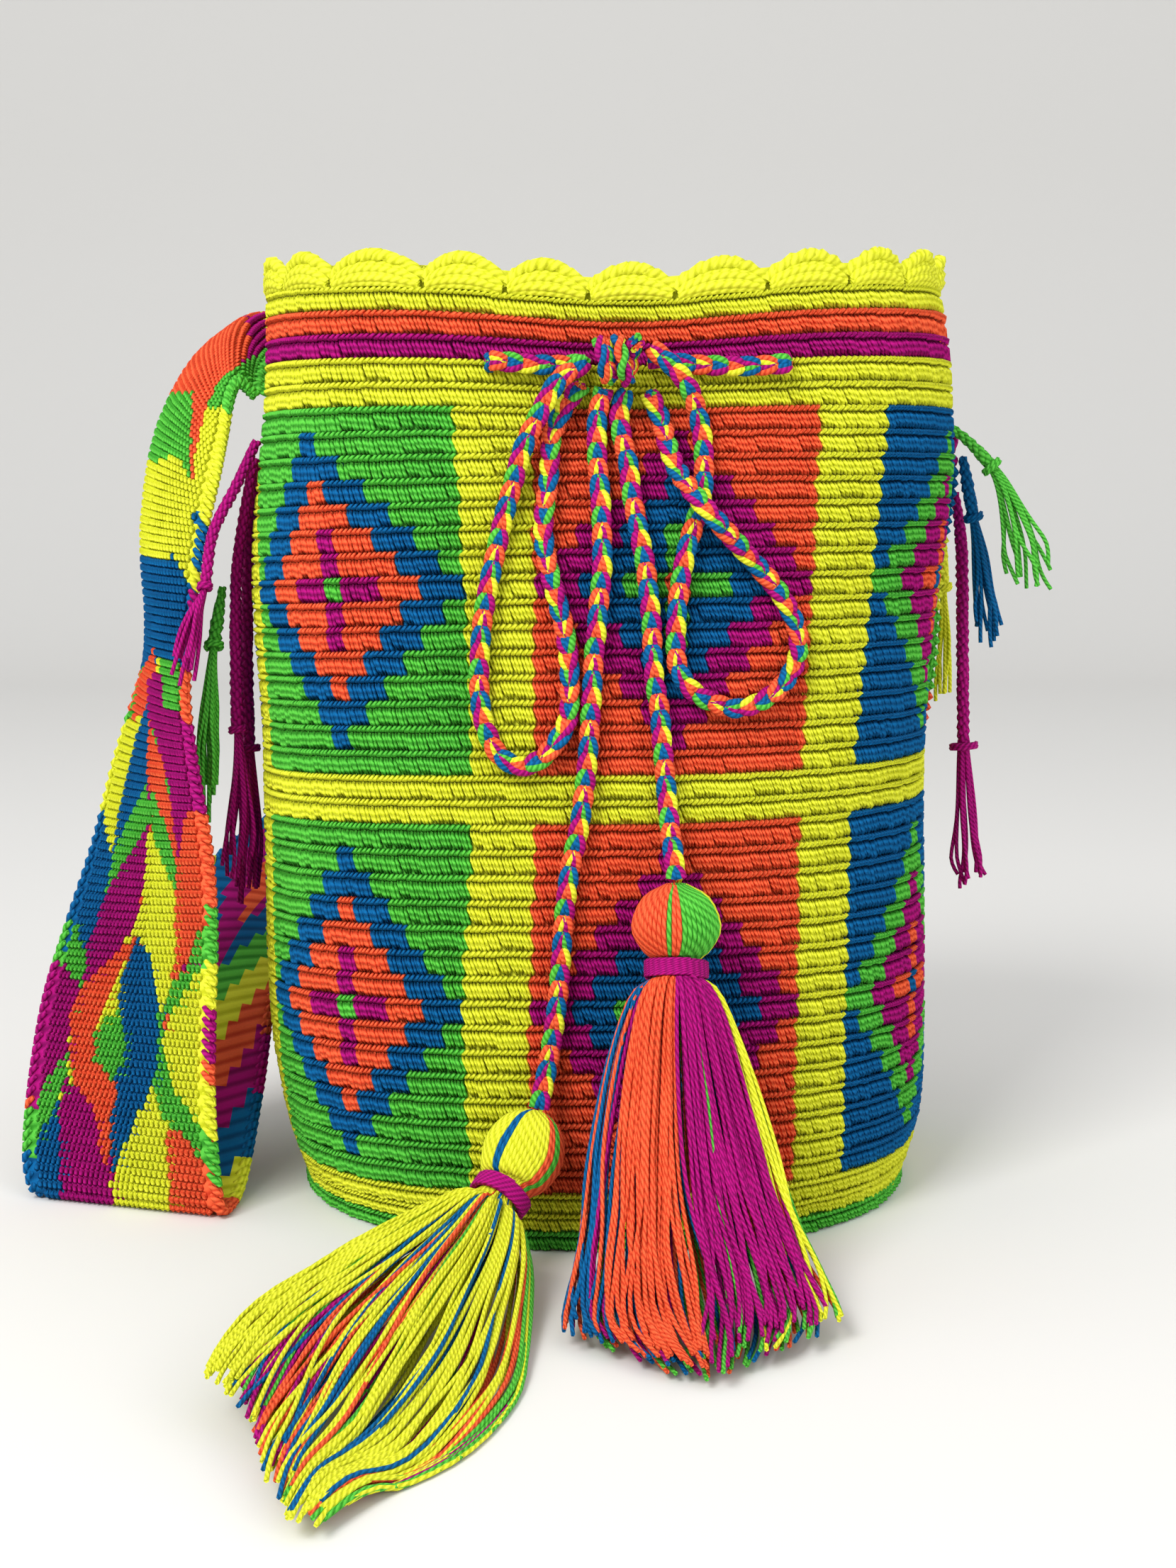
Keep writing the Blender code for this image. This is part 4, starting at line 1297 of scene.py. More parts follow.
@dataclass
class Tassel:
    """A bundle of yarn folded over the cord's end, tied off below the fold and cut straight."""

    side: str
    slot: str
    sections: Table
    head: tuple[tuple[float, Yarn], ...]  # the head's yarns from the left: up to which place, and the yarn
    locks: tuple[Lock, ...]
    cut: Table
    sweep: Sweep
    seed: int
    neck: tuple[int, int] = (4, 5)  # sections between which it is tied
    strand: float = 0.6  # radius of a yarn
    stray: float = 0.2  # share of the strands that cross over others
    denser: float = 1.6  # strands laid for each one that a lock counts
    head_strands: int = 52
    ring_step: float = 5.2  # between two rings of a strand
    binding: float = 2.2  # how far the tie's turns run to either side of its middle
    wraps: Table = ((0.7, 4.0, 0.8), (1.35, 7.0, 0.52))  # the tie's layers: rise, turns and yarn's radius

    def __post_init__(self) -> None:
        """Lay a smooth line through the sections."""
        rows = np.array([[*middle, wide, deep] for middle, wide, deep in self.sections], float)
        self.fine = smooth_line(rows, 10)
        self.index = np.linspace(0, len(rows) - 1, len(self.fine))
        self.ahead = unit(np.gradient(self.fine[:, :3], axis=0))
        self.across = unit(np.cross(self.ahead, (0.0, -1.0, 1.0)))
        self.up = np.cross(self.across, self.ahead)

    def at(self, section: np.ndarray, place_: np.ndarray, height: np.ndarray, inset: float) -> np.ndarray:
        """Points of the bundle.

        Args:
            section: where along it, counted in sections.
            place_: from 1 at the left to -1 at the right.
            height: from 1 on top to -1 underneath.
            inset: how far the envelope is drawn in.

        Returns:
            The points, none below the floor.
        """
        row = np.stack([np.interp(section, self.index, self.fine[:, k]) for k in range(5)], axis=1)
        across = np.stack([np.interp(section, self.index, self.across[:, k]) for k in range(3)], axis=1)
        up = np.stack([np.interp(section, self.index, self.up[:, k]) for k in range(3)], axis=1)
        points = row[:, :3] + across * ((row[:, 3] - inset) * place_)[:, None]
        points = points + up * ((row[:, 4] - inset) * height)[:, None]
        points[:, 2] = np.maximum(points[:, 2], GAP + inset)
        return points

    def lay_lock(self, strands: Strands, lock: Lock, chance: np.random.Generator) -> None:
        """Lay the strands of a lock side by side.

        Args:
            strands: where they go.
            lock: the lock.
            chance: the source of unevenness.
        """
        last = len(self.sections) - 1
        count = max(1, round(lock.count * self.denser)) if lock.count > 1 else 1
        for k in range(count):
            share = (k + 0.5) / count
            ends = [pair[0] + (pair[1] - pair[0]) * share for pair in (lock.neck, lock.middle, lock.end)]
            ends[1] += chance.normal(0, 0.035)
            ends[2] += chance.normal(0, 0.05)
            layer = lock.layer + chance.normal(0, 0.09)
            if chance.random() < self.stray:
                ends[1] += chance.normal(0, 0.08)
                ends[2] += chance.normal(0, 0.11)
                layer = min(layer + 0.1, 1.08)
            reach = chance.uniform(*lock.reach) * float(np.interp(ends[2], *np.array(self.cut).T))
            start = self.neck[0] + 0.3
            rows = max(8, round(self.length() * reach / self.ring_step))
            t = np.linspace(0, 1, rows)
            section = np.minimum(start + (last - start) * t * reach, last)
            place_ = ends[0] * (1 - t) * (1 - 2 * t) + 4 * ends[1] * t * (1 - t) + ends[2] * t * (2 * t - 1)
            place_ += 0.05 * np.sin(2 * np.pi * (t * chance.uniform(0.8, 1.8) + chance.uniform())) * t
            place_ = np.clip(place_, -1.02, 1.02)
            wave = 0.08 * np.sin(2 * np.pi * (t * 1.3 + chance.uniform())) * t
            height = layer * np.sqrt(np.clip(1 - place_**2, 0.02, 1)) + wave
            line = self.at(section, place_, height, self.strand)
            beyond = max(0.0, reach - 1) * self.length()
            if beyond:
                line[-1] += self.ahead[-1] * beyond
                line[-1, 2] = max(line[-1, 2], GAP + self.strand)
            radius = self.strand * (0.82 + 0.18 * np.clip(t * 5, 0, 1))
            strands.put(line, radius, lock.yarns[int(k / self.denser) % len(lock.yarns)])

    def length(self) -> float:
        """How long the skirt is."""
        return float(distances(self.fine[self.index >= self.neck[0]][:, :3])[-1])

    def skirt(self) -> Object:
        """Lay the skirt.

        Returns:
            The piece.
        """
        chance, strands = np.random.default_rng(self.seed), Strands()
        for lock in self.locks:
            self.lay_lock(strands, lock, chance)
        return self.sweep.make(f"tassel_{self.side}_skirt", strands, 5, 2.6)

    def ball(self) -> Object:
        """Lay the head's yarns over the fold like meridians.

        Returns:
            The piece.
        """
        strands = Strands()
        section = np.linspace(0, self.neck[0] + 0.5, 15)
        radius = self.strand * (0.8 + 0.46 * np.sin(np.pi * section / section[-1]))
        lean = 0.10 * np.sin(np.pi * section / self.neck[0])
        for k in range(self.head_strands):
            turn = 2 * np.pi * (k + 0.5) / self.head_strands
            yarn = next(y for limit, y in self.head if math.cos(turn) >= limit)
            line = self.at(section, np.cos(turn + lean), np.sin(turn + lean), self.strand * 0.9)
            strands.put(line, radius, yarn)
        # Packed yarn fills the eye of the fold round the cord.
        eye = self.fine[0, :3] + self.ahead[0] * np.array([0.3, 1.2, 2.4])[:, None]
        strands.put(eye, self.sections[0][1] - 0.2, self.head[0][1])
        return self.sweep.make(f"tassel_{self.side}_head", strands, 6, 2.8)

    def tie(self) -> Object:
        """Wind the neck with yarn.

        Returns:
            The piece.
        """
        first, last = (np.array(self.sections[i][0], float) for i in self.neck)
        axis, middle = unit(last - first), (first + last) / 2
        row = int(np.argmin(np.abs(self.index - self.neck[0])))
        across, up = self.across[row], self.up[row]
        strands = Strands()
        radius = max(self.sections[self.neck[0]][1:]) + GAP
        for layer, (rise, turns, thick) in enumerate(self.wraps):
            t = np.linspace(0, 1, int(turns * 20))
            turn = 2 * np.pi * turns * t + layer * 2.0
            shift = self.binding * (2 * t - 1) * (-1) ** layer
            ring = across * np.cos(turn)[:, None] + up * np.sin(turn)[:, None]
            line = middle + ring * (radius + rise) + axis * shift[:, None]
            line[:, 2] = np.maximum(line[:, 2], GAP + thick)
            strands.put(line, thick, M)
        return self.sweep.make(f"tassel_{self.side}_tie", strands, 6, 1.9)

    def make(self) -> list[Object]:
        """Make the whole tassel.

        Returns:
            The head and the tie, which are on the cord; the skirt goes with them.
        """
        pieces = [self.ball(), self.tie(), self.skirt()]
        own, bound = (f"tassel_{self.side}_yarn", self.slot), (f"tassel_{self.side}_binding", "magenta_yarn")
        for piece, (node, slot) in zip(pieces, (own, bound, own)):
            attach(piece, "root")
            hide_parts(node)
        return pieces


TASSEL_LEFT = (
    ((-13.8, -101.2, 43.2), 3.4, 3.4), ((-15, -102.6, 40), 8.6, 8.6), ((-17.6, -104.4, 33.6), 11.2, 10.6),
    ((-20.8, -107.2, 27.4), 9.6, 9.4), ((-22.4, -109.4, 24.6), 6.4, 6.2), ((-25.6, -113.4, 21.2), 6.4, 6.2),
    ((-28.6, -118.6, 17.8), 13, 9.6), ((-34, -133, 13.4), 21, 9.8), ((-42, -158, 9.8), 29, 8.6),
    ((-50, -190, 7.4), 35, 6.6), ((-57, -222, 5.6), 32, 5), ((-63, -246, 4.6), 22, 3.8),
    ((-64, -269, 3.8), 10, 3),
)  # the middle, half width and half depth of each section from the fold
TASSEL_RIGHT = (
    ((24.2, -101.4, 107.4), 3.4, 3.4), ((24.2, -101.6, 103.6), 9.4, 9.2), ((24.2, -102, 96), 12.3, 12),
    ((24.2, -102.4, 90), 9.6, 9.4), ((24.2, -103, 87), 6.8, 6.6), ((24.2, -104.6, 82), 6.8, 6.6),
    ((24.3, -106.4, 77.4), 13.4, 9.6), ((24.8, -111.5, 60), 20, 10.4), ((26, -119, 38), 26, 10.8),
    ((27.4, -130, 20), 30, 10.6), ((28.6, -148, 9.6), 34, 7.6), ((29.2, -170, 5.2), 34, 4.6),
    ((29.8, -194, 3.8), 20, 3),
)
LEFT_CUT = ((-1, 1.0), (-0.3, 1.0), (0.3, 0.9), (0.7, 0.8), (1, 0.72))  # place, then the skirt's reach there
RIGHT_CUT = ((-1, 0.84), (-0.5, 0.94), (0, 1.0), (0.5, 0.95), (1, 0.84))
LEFT_HEAD = ((0.6, Y), (0.5, B), (0.42, M), (0.34, B), (-0.62, Y), (-0.8, O), (-0.92, G), (-1.01, O))
RIGHT_HEAD = ((0.36, O), (0.2, G), (0.02, O), (-0.94, G), (-1.01, Y))
LEFT_LOCKS = (
    Lock((Y, B, Y, O, Y, G, M, Y), 40, (0.9, -0.9), (1.0, -1.0), (1.0, -1.0), -0.45, (0.9, 0.97)),
    Lock((B, M, B, G, M, M, Y, G, M, Y, O, M, B, O, Y, O), 21,
         (0.5, 0.1), (0.66, 0.16), (0.8, 0.1), 0.72, (0.92, 1.0)),
    Lock((Y,), 19, (0.98, 0.3), (1.0, 0.5), (1.02, 0.76), 0.95, (0.96, 1.02)),
    Lock((B, M, B, B), 4, (0.26, 0.06), (0.3, 0.06), (0.2, -0.1), 0.85, (0.9, 0.96)),
    Lock((Y, Y, Y, O, Y, Y, O, B, Y, Y, G, Y), 13,
         (0.2, -0.08), (0.26, -0.16), (0.3, -0.3), 0.92, (0.93, 1.03)),
    Lock((Y, Y, Y, Y, Y, B, Y, Y, Y), 19, (-0.06, -0.88), (-0.14, -0.84), (-0.2, -0.9), 1.0, (0.95, 1.02)),
    Lock((O, O, G, Y, G, G), 6, (-0.84, -0.98), (-0.84, -1.0), (-0.78, -1.0), 0.8, (0.96, 1.02)),
)  # nearly the order in which they lie
RIGHT_LOCKS = (
    Lock((O, B, M, G, O, G), 36, (0.9, -0.9), (1.0, -1.0), (1.0, -1.0), -0.4, (0.94, 1.0)),
    Lock((B, B, B, M, B, B), 9, (0.9, 0.55), (0.92, 0.5), (0.95, 0.42), 0.5, (0.96, 1.02)),
    Lock((O, M, B, G), 8, (0.5, -0.1), (0.5, 0.0), (0.5, -0.1), 0.6, (0.94, 1.01)),
    Lock((G, M, G, G, Y), 12, (0.1, -0.7), (-0.05, -0.75), (0.02, -0.86), 0.55, (0.96, 1.02)),
    Lock((O, B, O, B, M), 5, (0.98, 0.8), (1.0, 0.8), (1.02, 0.8), 0.75, (0.95, 1.02)),
    Lock((O,), 22, (0.84, 0.02), (0.74, 0.1), (0.68, 0.02), 0.98, (0.93, 1.02)),
    Lock((M,), 23, (0.0, -0.78), (0.02, -0.82), (-0.04, -0.84), 1.0, (0.9, 0.99)),
    Lock((G,), 1, (-0.3, -0.3), (-0.3, -0.3), (-0.26, -0.26), 1.08, (0.92, 0.93)),
    Lock((Y,), 4, (-0.78, -0.94), (-0.86, -1.0), (-0.9, -1.02), 0.8, (0.94, 1.0)),
)


# Yarn ends under the strap's seams


@dataclass(frozen=True)
class Fringe:
    """Ends of the strap's yarn: twisted into a cord down to a knot, and loose below it."""

    name: str
    yarn: Yarn
    route: Table
    halves: tuple[float, ...]
    opens: float  # share of the route at which it is knotted
    ends: int
    strand: float = 0.68

    def make(self, sweep: Sweep) -> Object:
        """Twist, knot and fray the bundle.

        Args:
            sweep: the tree that sweeps yarn.

        Returns:
            The piece.
        """
        chance = np.random.default_rng(len(self.name))
        line = smooth_line(self.route, 8)
        halves = np.interp(np.linspace(0, 1, len(line)), np.linspace(0, 1, len(self.halves)), self.halves)
        split = max(3, round(self.opens * (len(line) - 1)))
        strands = Strands()
        self.cord(strands, line[: split + 1], halves[: split + 1])
        ahead, across, off = frames(line)
        radius = float(halves[split]) * 0.62 + 0.5
        t = np.linspace(0, 2 * np.pi * 1.6, 26)
        ring = line[split] + (across[split] * np.cos(t)[:, None] + off[split] * np.sin(t)[:, None]) * radius
        strands.put(ring + np.linspace(-0.8, 0.8, 26)[:, None] * ahead[split], self.strand * 1.15, self.yarn)
        rest, wide = line[split:], halves[split:]
        t = np.linspace(0, 1, len(rest))
        for k in range(self.ends):
            turn = 2 * np.pi * (k + 0.5 * (k % 2)) / self.ends
            bend = 0.35 * np.sin(2 * np.pi * (t * chance.uniform(0.5, 1.3) + chance.uniform())) * t
            spread = (wide - self.strand) * np.clip(0.3 + t * 1.1, 0, 1) * chance.uniform(0.45, 1.0)
            stop = max(4, round(len(rest) * chance.uniform(0.78, 1.0)))
            path = rest + across[split:] * (spread * (np.cos(turn) + bend))[:, None]
            path = path + off[split:] * (spread * 0.8 * (np.sin(turn) + bend))[:, None]
            strands.put(path[:stop], self.strand, self.yarn)
        piece = sweep.make(self.name + "_yarns", strands, 5, 1.7)
        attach(piece, "root")
        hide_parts(self.name)
        return piece

    def cord(self, strands: Strands, line: np.ndarray, halves: np.ndarray) -> None:
        """Twist the part above the knot from three thick plies.

        Args:
            strands: where they go.
            line: its middle.
            halves: its half thickness.
        """
        step, lay = 1.6, 9.0
        fine = spaced(line, step)
        shares = np.linspace(0, 1, len(halves))
        half = np.interp(np.linspace(0, 1, len(fine)), shares, np.minimum(halves, 2.4))
        _ahead, across, off = frames(fine)
        turn = 2 * np.pi * np.arange(len(fine)) * step / lay
        for k in range(3):
            here = turn + 2 * np.pi * k / 3
            ring = across * np.cos(here)[:, None] + off * np.sin(here)[:, None]
            strands.put(fine + ring * (half * 0.48)[:, None], half * 0.5, self.yarn)


FRINGES = (
    Fringe("strap_end_left_front", M, (
        (-102.3, -10, 231), (-107.4, -17, 218), (-113.4, -27, 203), (-115, -34, 187), (-117.5, -39, 178),
        (-122, -44, 158)), (1.8, 2, 2, 2, 4.5, 5.5), 0.6, 9),
    Fringe("strap_end_left_middle", M, (
        (-104.2, -3, 226), (-107.2, -4, 210), (-110, -6, 188), (-110, -9, 150), (-109, -11, 120),
        (-110.6, -12, 92)), (1.8, 2, 2.2, 2.4, 5, 6), 0.66, 11),
    Fringe("strap_end_left_rear", M, (
        (-103.7, 10, 226), (-108.2, 10, 200), (-109.6, 10, 160), (-109, 8, 125), (-110, 6, 84)),
           (1.6, 2.6, 3.2, 4.4, 5), 0.7, 10),
    Fringe("strap_end_left_green", G, (
        (-114.6, -4, 186), (-116, -16, 166), (-116.6, -20, 150), (-117.4, -21, 136), (-118, -20, 114)),
           (1.4, 3.4, 5, 5.4, 3), 0.22, 11),
    Fringe("strap_end_right_green", G, (
        (114, 9, 237), (122.4, 8, 230), (131, 7, 219), (138, 6, 200), (142, 5, 184)),
           (1.6, 2, 5, 7.5, 8), 0.42, 13),
    Fringe("strap_end_right_blue", B, (
        (119.7, 14, 227), (123.4, 18, 212), (127, 20, 196), (129, 20, 180), (130, 20, 166)),
           (1.6, 3, 5, 6, 6), 0.3, 10),
    Fringe("strap_end_right_magenta", M, (
        (119.1, 24, 216), (122.6, 30, 198), (125, 38, 164), (126, 38, 132), (128, 37, 100),
        (130, 36, 84)), (1.6, 3, 4.4, 6, 6.4, 6), 0.6, 11),
    Fringe("strap_end_right_yellow", Y, (
        (115.7, 33, 206), (118.6, 43, 190), (120.6, 49, 168), (120.6, 53, 146)),
           (1.6, 3, 3.6, 3.6), 0.4, 9),
)


# The strap


STRAP_SEAM_LEFT = ((42, 264), (18, 257), (-7, 245))
STRAP_SEAM_RIGHT = ((52, 244), (34, 241), (14, 234))
STRAP_ROUTE = (
    ((-98, 41, 273), (-109, 19, 268), (-107.5, -9, 249)),
    ((-113, 34, 269), (-116.5, 12, 262), (-110, -12, 244)),
    ((-124, 22, 256), (-125, 3, 250), (-111.5, -15, 233)),
    ((-131.5, 10, 234), (-132, -6, 232), (-113, -20, 222)),
    ((-134, 2, 212), (-135, -13, 210), (-116, -25, 206)),
    ((-133, -3, 196), (-135, -18, 194), (-118, -28, 192)),
    ((-133.5, -3, 179), (-134, -19, 178), (-119.5, -30, 176)),
    ((-140.3, 0, 158.8), (-134, -20, 157), (-121.2, -35, 154.7)),
    ((-149.5, 0, 131.7), (-136, -21, 131.5), (-118, -40, 131.6)),
    ((-156.3, -4, 105.1), (-136, -25.5, 106), (-113.6, -45, 108.4)),
    ((-165, -8, 78.5), (-139, -28.5, 81), (-112.2, -48, 84)),
    ((-171.5, -12, 56.5), (-142, -32, 58), (-112.6, -52, 60)),
    ((-174.4, -22, 30.7), (-143.5, -40, 32), (-112.4, -57, 34)),
    ((-174, -32, 11), (-142.5, -46.5, 11.5), (-110.6, -60, 12)),
    ((-170, -40, 2.5), (-139.5, -50, 2.5), (-109, -60, 2.5)),
    ((-167, -29, 2.4), (-137, -38, 2.4), (-107, -47, 2.4)),
    ((-164, -18, 9), (-135, -26, 9.5), (-105.5, -34, 10)),
    ((-158, 2, 30), (-131.5, -5, 30), (-104, -12, 30)),
    ((-148, 28, 60), (-126, 22, 57), (-102.5, 14, 54)),
    ((-128, 62, 92), (-111, 59, 81), (-93, 50, 70)),
    ((-96, 94, 108), (-87, 91, 83), (-76, 83, 58)),
    ((-52, 108, 100), (-50, 109, 69), (-48, 105, 38)),
    ((0, 112, 86), (0, 113, 55), (0, 111, 24)),
    ((50, 107, 104), (53, 108, 74), (56, 103, 44)),
    ((80, 88, 140), (91, 84, 115), (99, 75, 90)),
    ((88, 68, 180), (104, 58, 161), (113, 42, 142)),
    ((84, 64, 214), (105, 47, 203), (114.6, 25, 192)),
    ((89, 54, 236), (109, 36, 230), (117, 16, 220)),
)  # one edge, the middle and the other edge of each section


CAMERA_PLACE = (0.0, -0.6986, 0.2048)  # metres
EYE = (CAMERA_PLACE[1] / MM, CAMERA_PLACE[2] / MM)  # Y and Z of the viewpoint
DRAWING = -35.0  # Y of the upright plane that the patches are drawn on, as seen from there
PATCHES = (
    (O, ((-136, 240), (-128, 262), (-112, 273), (-97, 273), (-97, 264), (-102, 256),
         (-110, 244), (-116, 226), (-118, 217), (-121, 224))),
    (M, ((-101, 266), (-95, 267), (-95, 257), (-100, 250), (-103, 252), (-100, 258))),
    (Y, ((-117, 226), (-113, 240), (-106, 246), (-104, 238), (-110, 222), (-115, 206), (-117, 207))),
    (G, ((-113, 240), (-110, 246), (-104, 252), (-94, 258), (-94, 240), (-104, 234), (-107, 240))),
    (G, ((-138, 238), (-122, 244), (-117, 244), (-118, 226), (-119, 217), (-121, 224), (-138, 220))),
    (Y, ((-138, 222), (-121, 226), (-118, 217), (-117, 191), (-119, 183), (-124, 196), (-138, 197))),
    (B, ((-138, 197), (-124, 196), (-119, 188), (-120, 168), (-123, 163), (-127, 166), (-138, 160))),
    (G, ((-128, 166), (-123, 165), (-122, 148), (-127, 149), (-128, 137), (-129, 151))),
    (O, ((-137, 147), (-135, 158), (-130, 169), (-129, 160), (-134, 147))),
    (Y, ((-148, 117), (-141, 146), (-134, 148), (-137, 137), (-142, 117), (-144, 104))),
    (M, ((-132, 160), (-128, 161), (-126, 137), (-126, 131), (-129, 138), (-132, 148))),
    (B, ((-134, 148), (-132, 148), (-133, 128), (-143, 107), (-145, 102), (-142, 118), (-137, 137))),
    (M, ((-127, 150), (-122, 150), (-117, 131), (-116, 119), (-120, 104), (-125, 104),
         (-126, 122), (-128, 137))),
    (O, ((-132, 147), (-129, 138), (-126, 122), (-124, 101), (-127, 108), (-133, 128))),
    (G, ((-133, 129), (-132, 115), (-144, 97), (-151, 83), (-155, 74), (-161, 61),
         (-159, 83), (-147, 96), (-143, 108))),
    (G, ((-132, 128), (-126, 109), (-124, 101), (-125, 93), (-127, 93), (-132, 115))),
    (B, ((-147, 122), (-144, 104), (-147, 93), (-154, 74), (-158, 85), (-153, 105))),
    (M, ((-133, 115), (-134, 101), (-138, 83), (-149, 70), (-156, 65), (-153, 77), (-145, 97))),
    (Y, ((-133, 115), (-125, 93), (-125, 82), (-129, 55), (-132, 56), (-137, 82), (-134, 102))),
    (O, ((-121, 120), (-113, 121), (-112, 105), (-113, 89), (-121, 75), (-126, 67), (-125, 102))),
    (G, ((-156, 87), (-153, 73), (-154, 67), (-157, 56), (-162, 64), (-163, 74))),
    (M, ((-167, 67), (-161, 73), (-155, 65), (-158, 58), (-160, 43), (-166, 37), (-175, 24), (-173, 49))),
    (O, ((-137, 82), (-141, 73), (-149, 58), (-152, 43), (-145, 34), (-146, 22),
         (-149, 4), (-154, 15), (-158, 34), (-159, 46), (-157, 61), (-146, 73))),
    (G, ((-152, 49), (-147, 57), (-141, 51), (-142, 42), (-146, 36), (-151, 42))),
    (B, ((-137, 82), (-133, 73), (-131, 58), (-133, 36), (-142, 18), (-147, 4),
         (-147, 25), (-142, 40), (-142, 52), (-144, 61), (-141, 73))),
    (G, ((-116, 90), (-113, 89), (-114, 74), (-117, 71), (-128, 56), (-132, 55), (-126, 67), (-121, 74))),
    (Y, ((-117, 73), (-113, 73), (-119, 43), (-113, 19), (-118, 18), (-127, 30), (-132, 40), (-129, 55))),
    (G, ((-132, 49), (-126, 30), (-117, 18), (-111, 13), (-111, 6), (-117, 4), (-129, 22), (-133, 37))),
    (O, ((-131, 22), (-126, 21), (-116, 4), (-110, 6), (-110, -16), (-130, -16), (-129, 6))),
    (Y, ((-133, 31), (-130, 21), (-129, -2), (-130, -16), (-145, -16), (-149, 0), (-142, 18))),
    (G, ((-159, 45), (-160, 37), (-171, 13), (-176, 10), (-176, 22), (-166, 37))),
    (B, ((-162, 31), (-163, -16), (-177, -16), (-177, 10), (-171, 15))),
    (M, ((-160, 37), (-153, 28), (-147, -2), (-146, -16), (-163, -16), (-163, 6), (-163, 28))),
)  # colour patches of the strap's near leg: yarn, then corners X and Z on the drawing plane


@dataclass
class Strap:
    """The shoulder strap: ply-split yarn in diagonal bands, with a plump grain where two plies cross."""

    wall: Wall
    wide: float = 64.0
    woven: float = 62.0  # width between the braided edges
    thick: float = 2.8
    grain: tuple[float, float] = (2.5, 1.9)  # along the strap and across it
    edge: float = 3.3  # pitch of the braided edge
    every: int = 3  # stretches between two sections of the route
    sewn: int = 22  # stitches in a seam
    off: float = CHAIN + GAP + CHAIN
    press: float = 1.15  # lowest middle of an edge's yarn, which the floor presses
    spine: float = 0.15  # place across at which the bands and the grains turn back
    lean: float = 0.28  # how far a grain slants across the strap
    band: float = 24.0  # length of a band along the strap
    slope: float = 2.1  # how steeply the bands lean
    band_start: float = 300.0
    band_shift: int = 4  # how much further the colours are past the spine
    bands: tuple[Yarn, ...] = (O, Y, G, B, M, O, G, Y, B, M)

    def seam(self, places: Table, hand: int) -> tuple:
        """The three points of the strap's end, a touch off the wall.

        Args:
            places: their Y and Z.
            hand: -1 for the left side of the bag, 1 for the right.

        Returns:
            The points.
        """
        found = []
        for y, z in places:
            middle, half_width, half_depth = (float(v) for v in self.wall.oval(z))
            x = middle + hand * half_width * self.wall.reach(abs(y / half_depth))
            found.append((x + hand * (self.off + self.thick / 2), y, z))
        return tuple(found)

    def surface(self) -> tuple[np.ndarray, np.ndarray, np.ndarray]:
        """The strap's two edges and its middle, evenly spaced along it.

        Returns:
            The points of one edge, the middle and the other edge, a grain apart.
        """
        route = (self.seam(STRAP_SEAM_LEFT, -1), *STRAP_ROUTE, self.seam(STRAP_SEAM_RIGHT, 1))
        lines = np.hstack([smooth_line([section[k] for section in route], self.every) for k in range(3)])
        lines = smooth_line(lines, 3)
        lengths = distances(lines[:, 3:6])
        want = np.linspace(0, lengths[-1], round(lengths[-1] / self.grain[0]) + 1)
        even = np.stack([np.interp(want, lengths, lines[:, k]) for k in range(9)], axis=1)
        return even[:, :3], even[:, 3:6], even[:, 6:]

    def grid(self, places: np.ndarray, rows: np.ndarray, lift: Any) -> tuple[np.ndarray, ...]:
        """Points on the strap with their directions.

        Args:
            places: from -1 to 1 across.
            rows: where along it, counted in grains.
            lift: how far the points lie off its middle layer.

        Returns:
            Points, directions along and across, and the outward normal, each row by row.
        """
        a, m, b = self.surface()
        count = np.arange(len(a))

        def at(r: np.ndarray, u: np.ndarray) -> np.ndarray:
            """Points at rows and places."""
            pa, pm, pb = (np.stack([np.interp(r, count, p[:, k]) for k in range(3)], axis=-1)
                          for p in (a, m, b))
            u = u[..., None]
            return pm + (pb - pa) / 2 * u + ((pa + pb) / 2 - pm) * u * u

        rows_, places_ = np.broadcast_arrays(rows, places)
        step = 0.5
        along = unit(at(rows_ + step, places_) - at(rows_ - step, places_))
        across = unit(at(rows_, places_ + 0.05) - at(rows_, places_ - 0.05))
        normal = unit(np.cross(along, across))
        return at(rows_, places_) + normal * lift, along, across, normal

    def yarn_at(self, row: float, place_: float) -> Yarn:
        """The yarn of the diagonal band at a place.

        Args:
            row: where along the strap, counted in grains.
            place_: from -1 to 1 across.

        Returns:
            The yarn.
        """
        along, out_ = row * self.grain[0], abs(place_ - self.spine) * 30
        number = math.floor((along + self.band_start - self.slope * out_) / self.band)
        shift = self.band_shift if place_ > self.spine else 0
        return self.bands[(number + shift) % len(self.bands)]

    def yarns_at(self, rows: np.ndarray, places: np.ndarray, points: np.ndarray) -> list[int]:
        """The yarns of places on the strap: drawn patches on the near leg, and plain bands past its fold.

        Args:
            rows: where along the strap, counted in grains.
            places: from -1 to 1 across.
            points: the places' points.

        Returns:
            The yarns' numbers.
        """
        found = np.array([self.yarn_at(float(r), float(u)).value for r, u in zip(rows, places)])
        near = (DRAWING - EYE[0]) / (points[:, 1] - EYE[0])
        x, z = points[:, 0] * near, EYE[1] + (points[:, 2] - EYE[1]) * near
        leg = rows < self.fold()
        for yarn, corners in PATCHES:
            inside = np.zeros(len(x), bool)
            for (x0, z0), (x1, z1) in zip(corners, corners[1:] + corners[:1]):
                if z0 != z1:
                    inside ^= ((z0 > z) != (z1 > z)) & (x < (x1 - x0) * (z - z0) / (z1 - z0) + x0)
            found[inside & leg] = yarn.value
        return [int(v) for v in found]

    def fold(self) -> int:
        """The row at which the strap turns on the floor."""
        middle = self.surface()[1]
        return int(np.argmin(middle[: len(middle) // 2, 2])) + 2

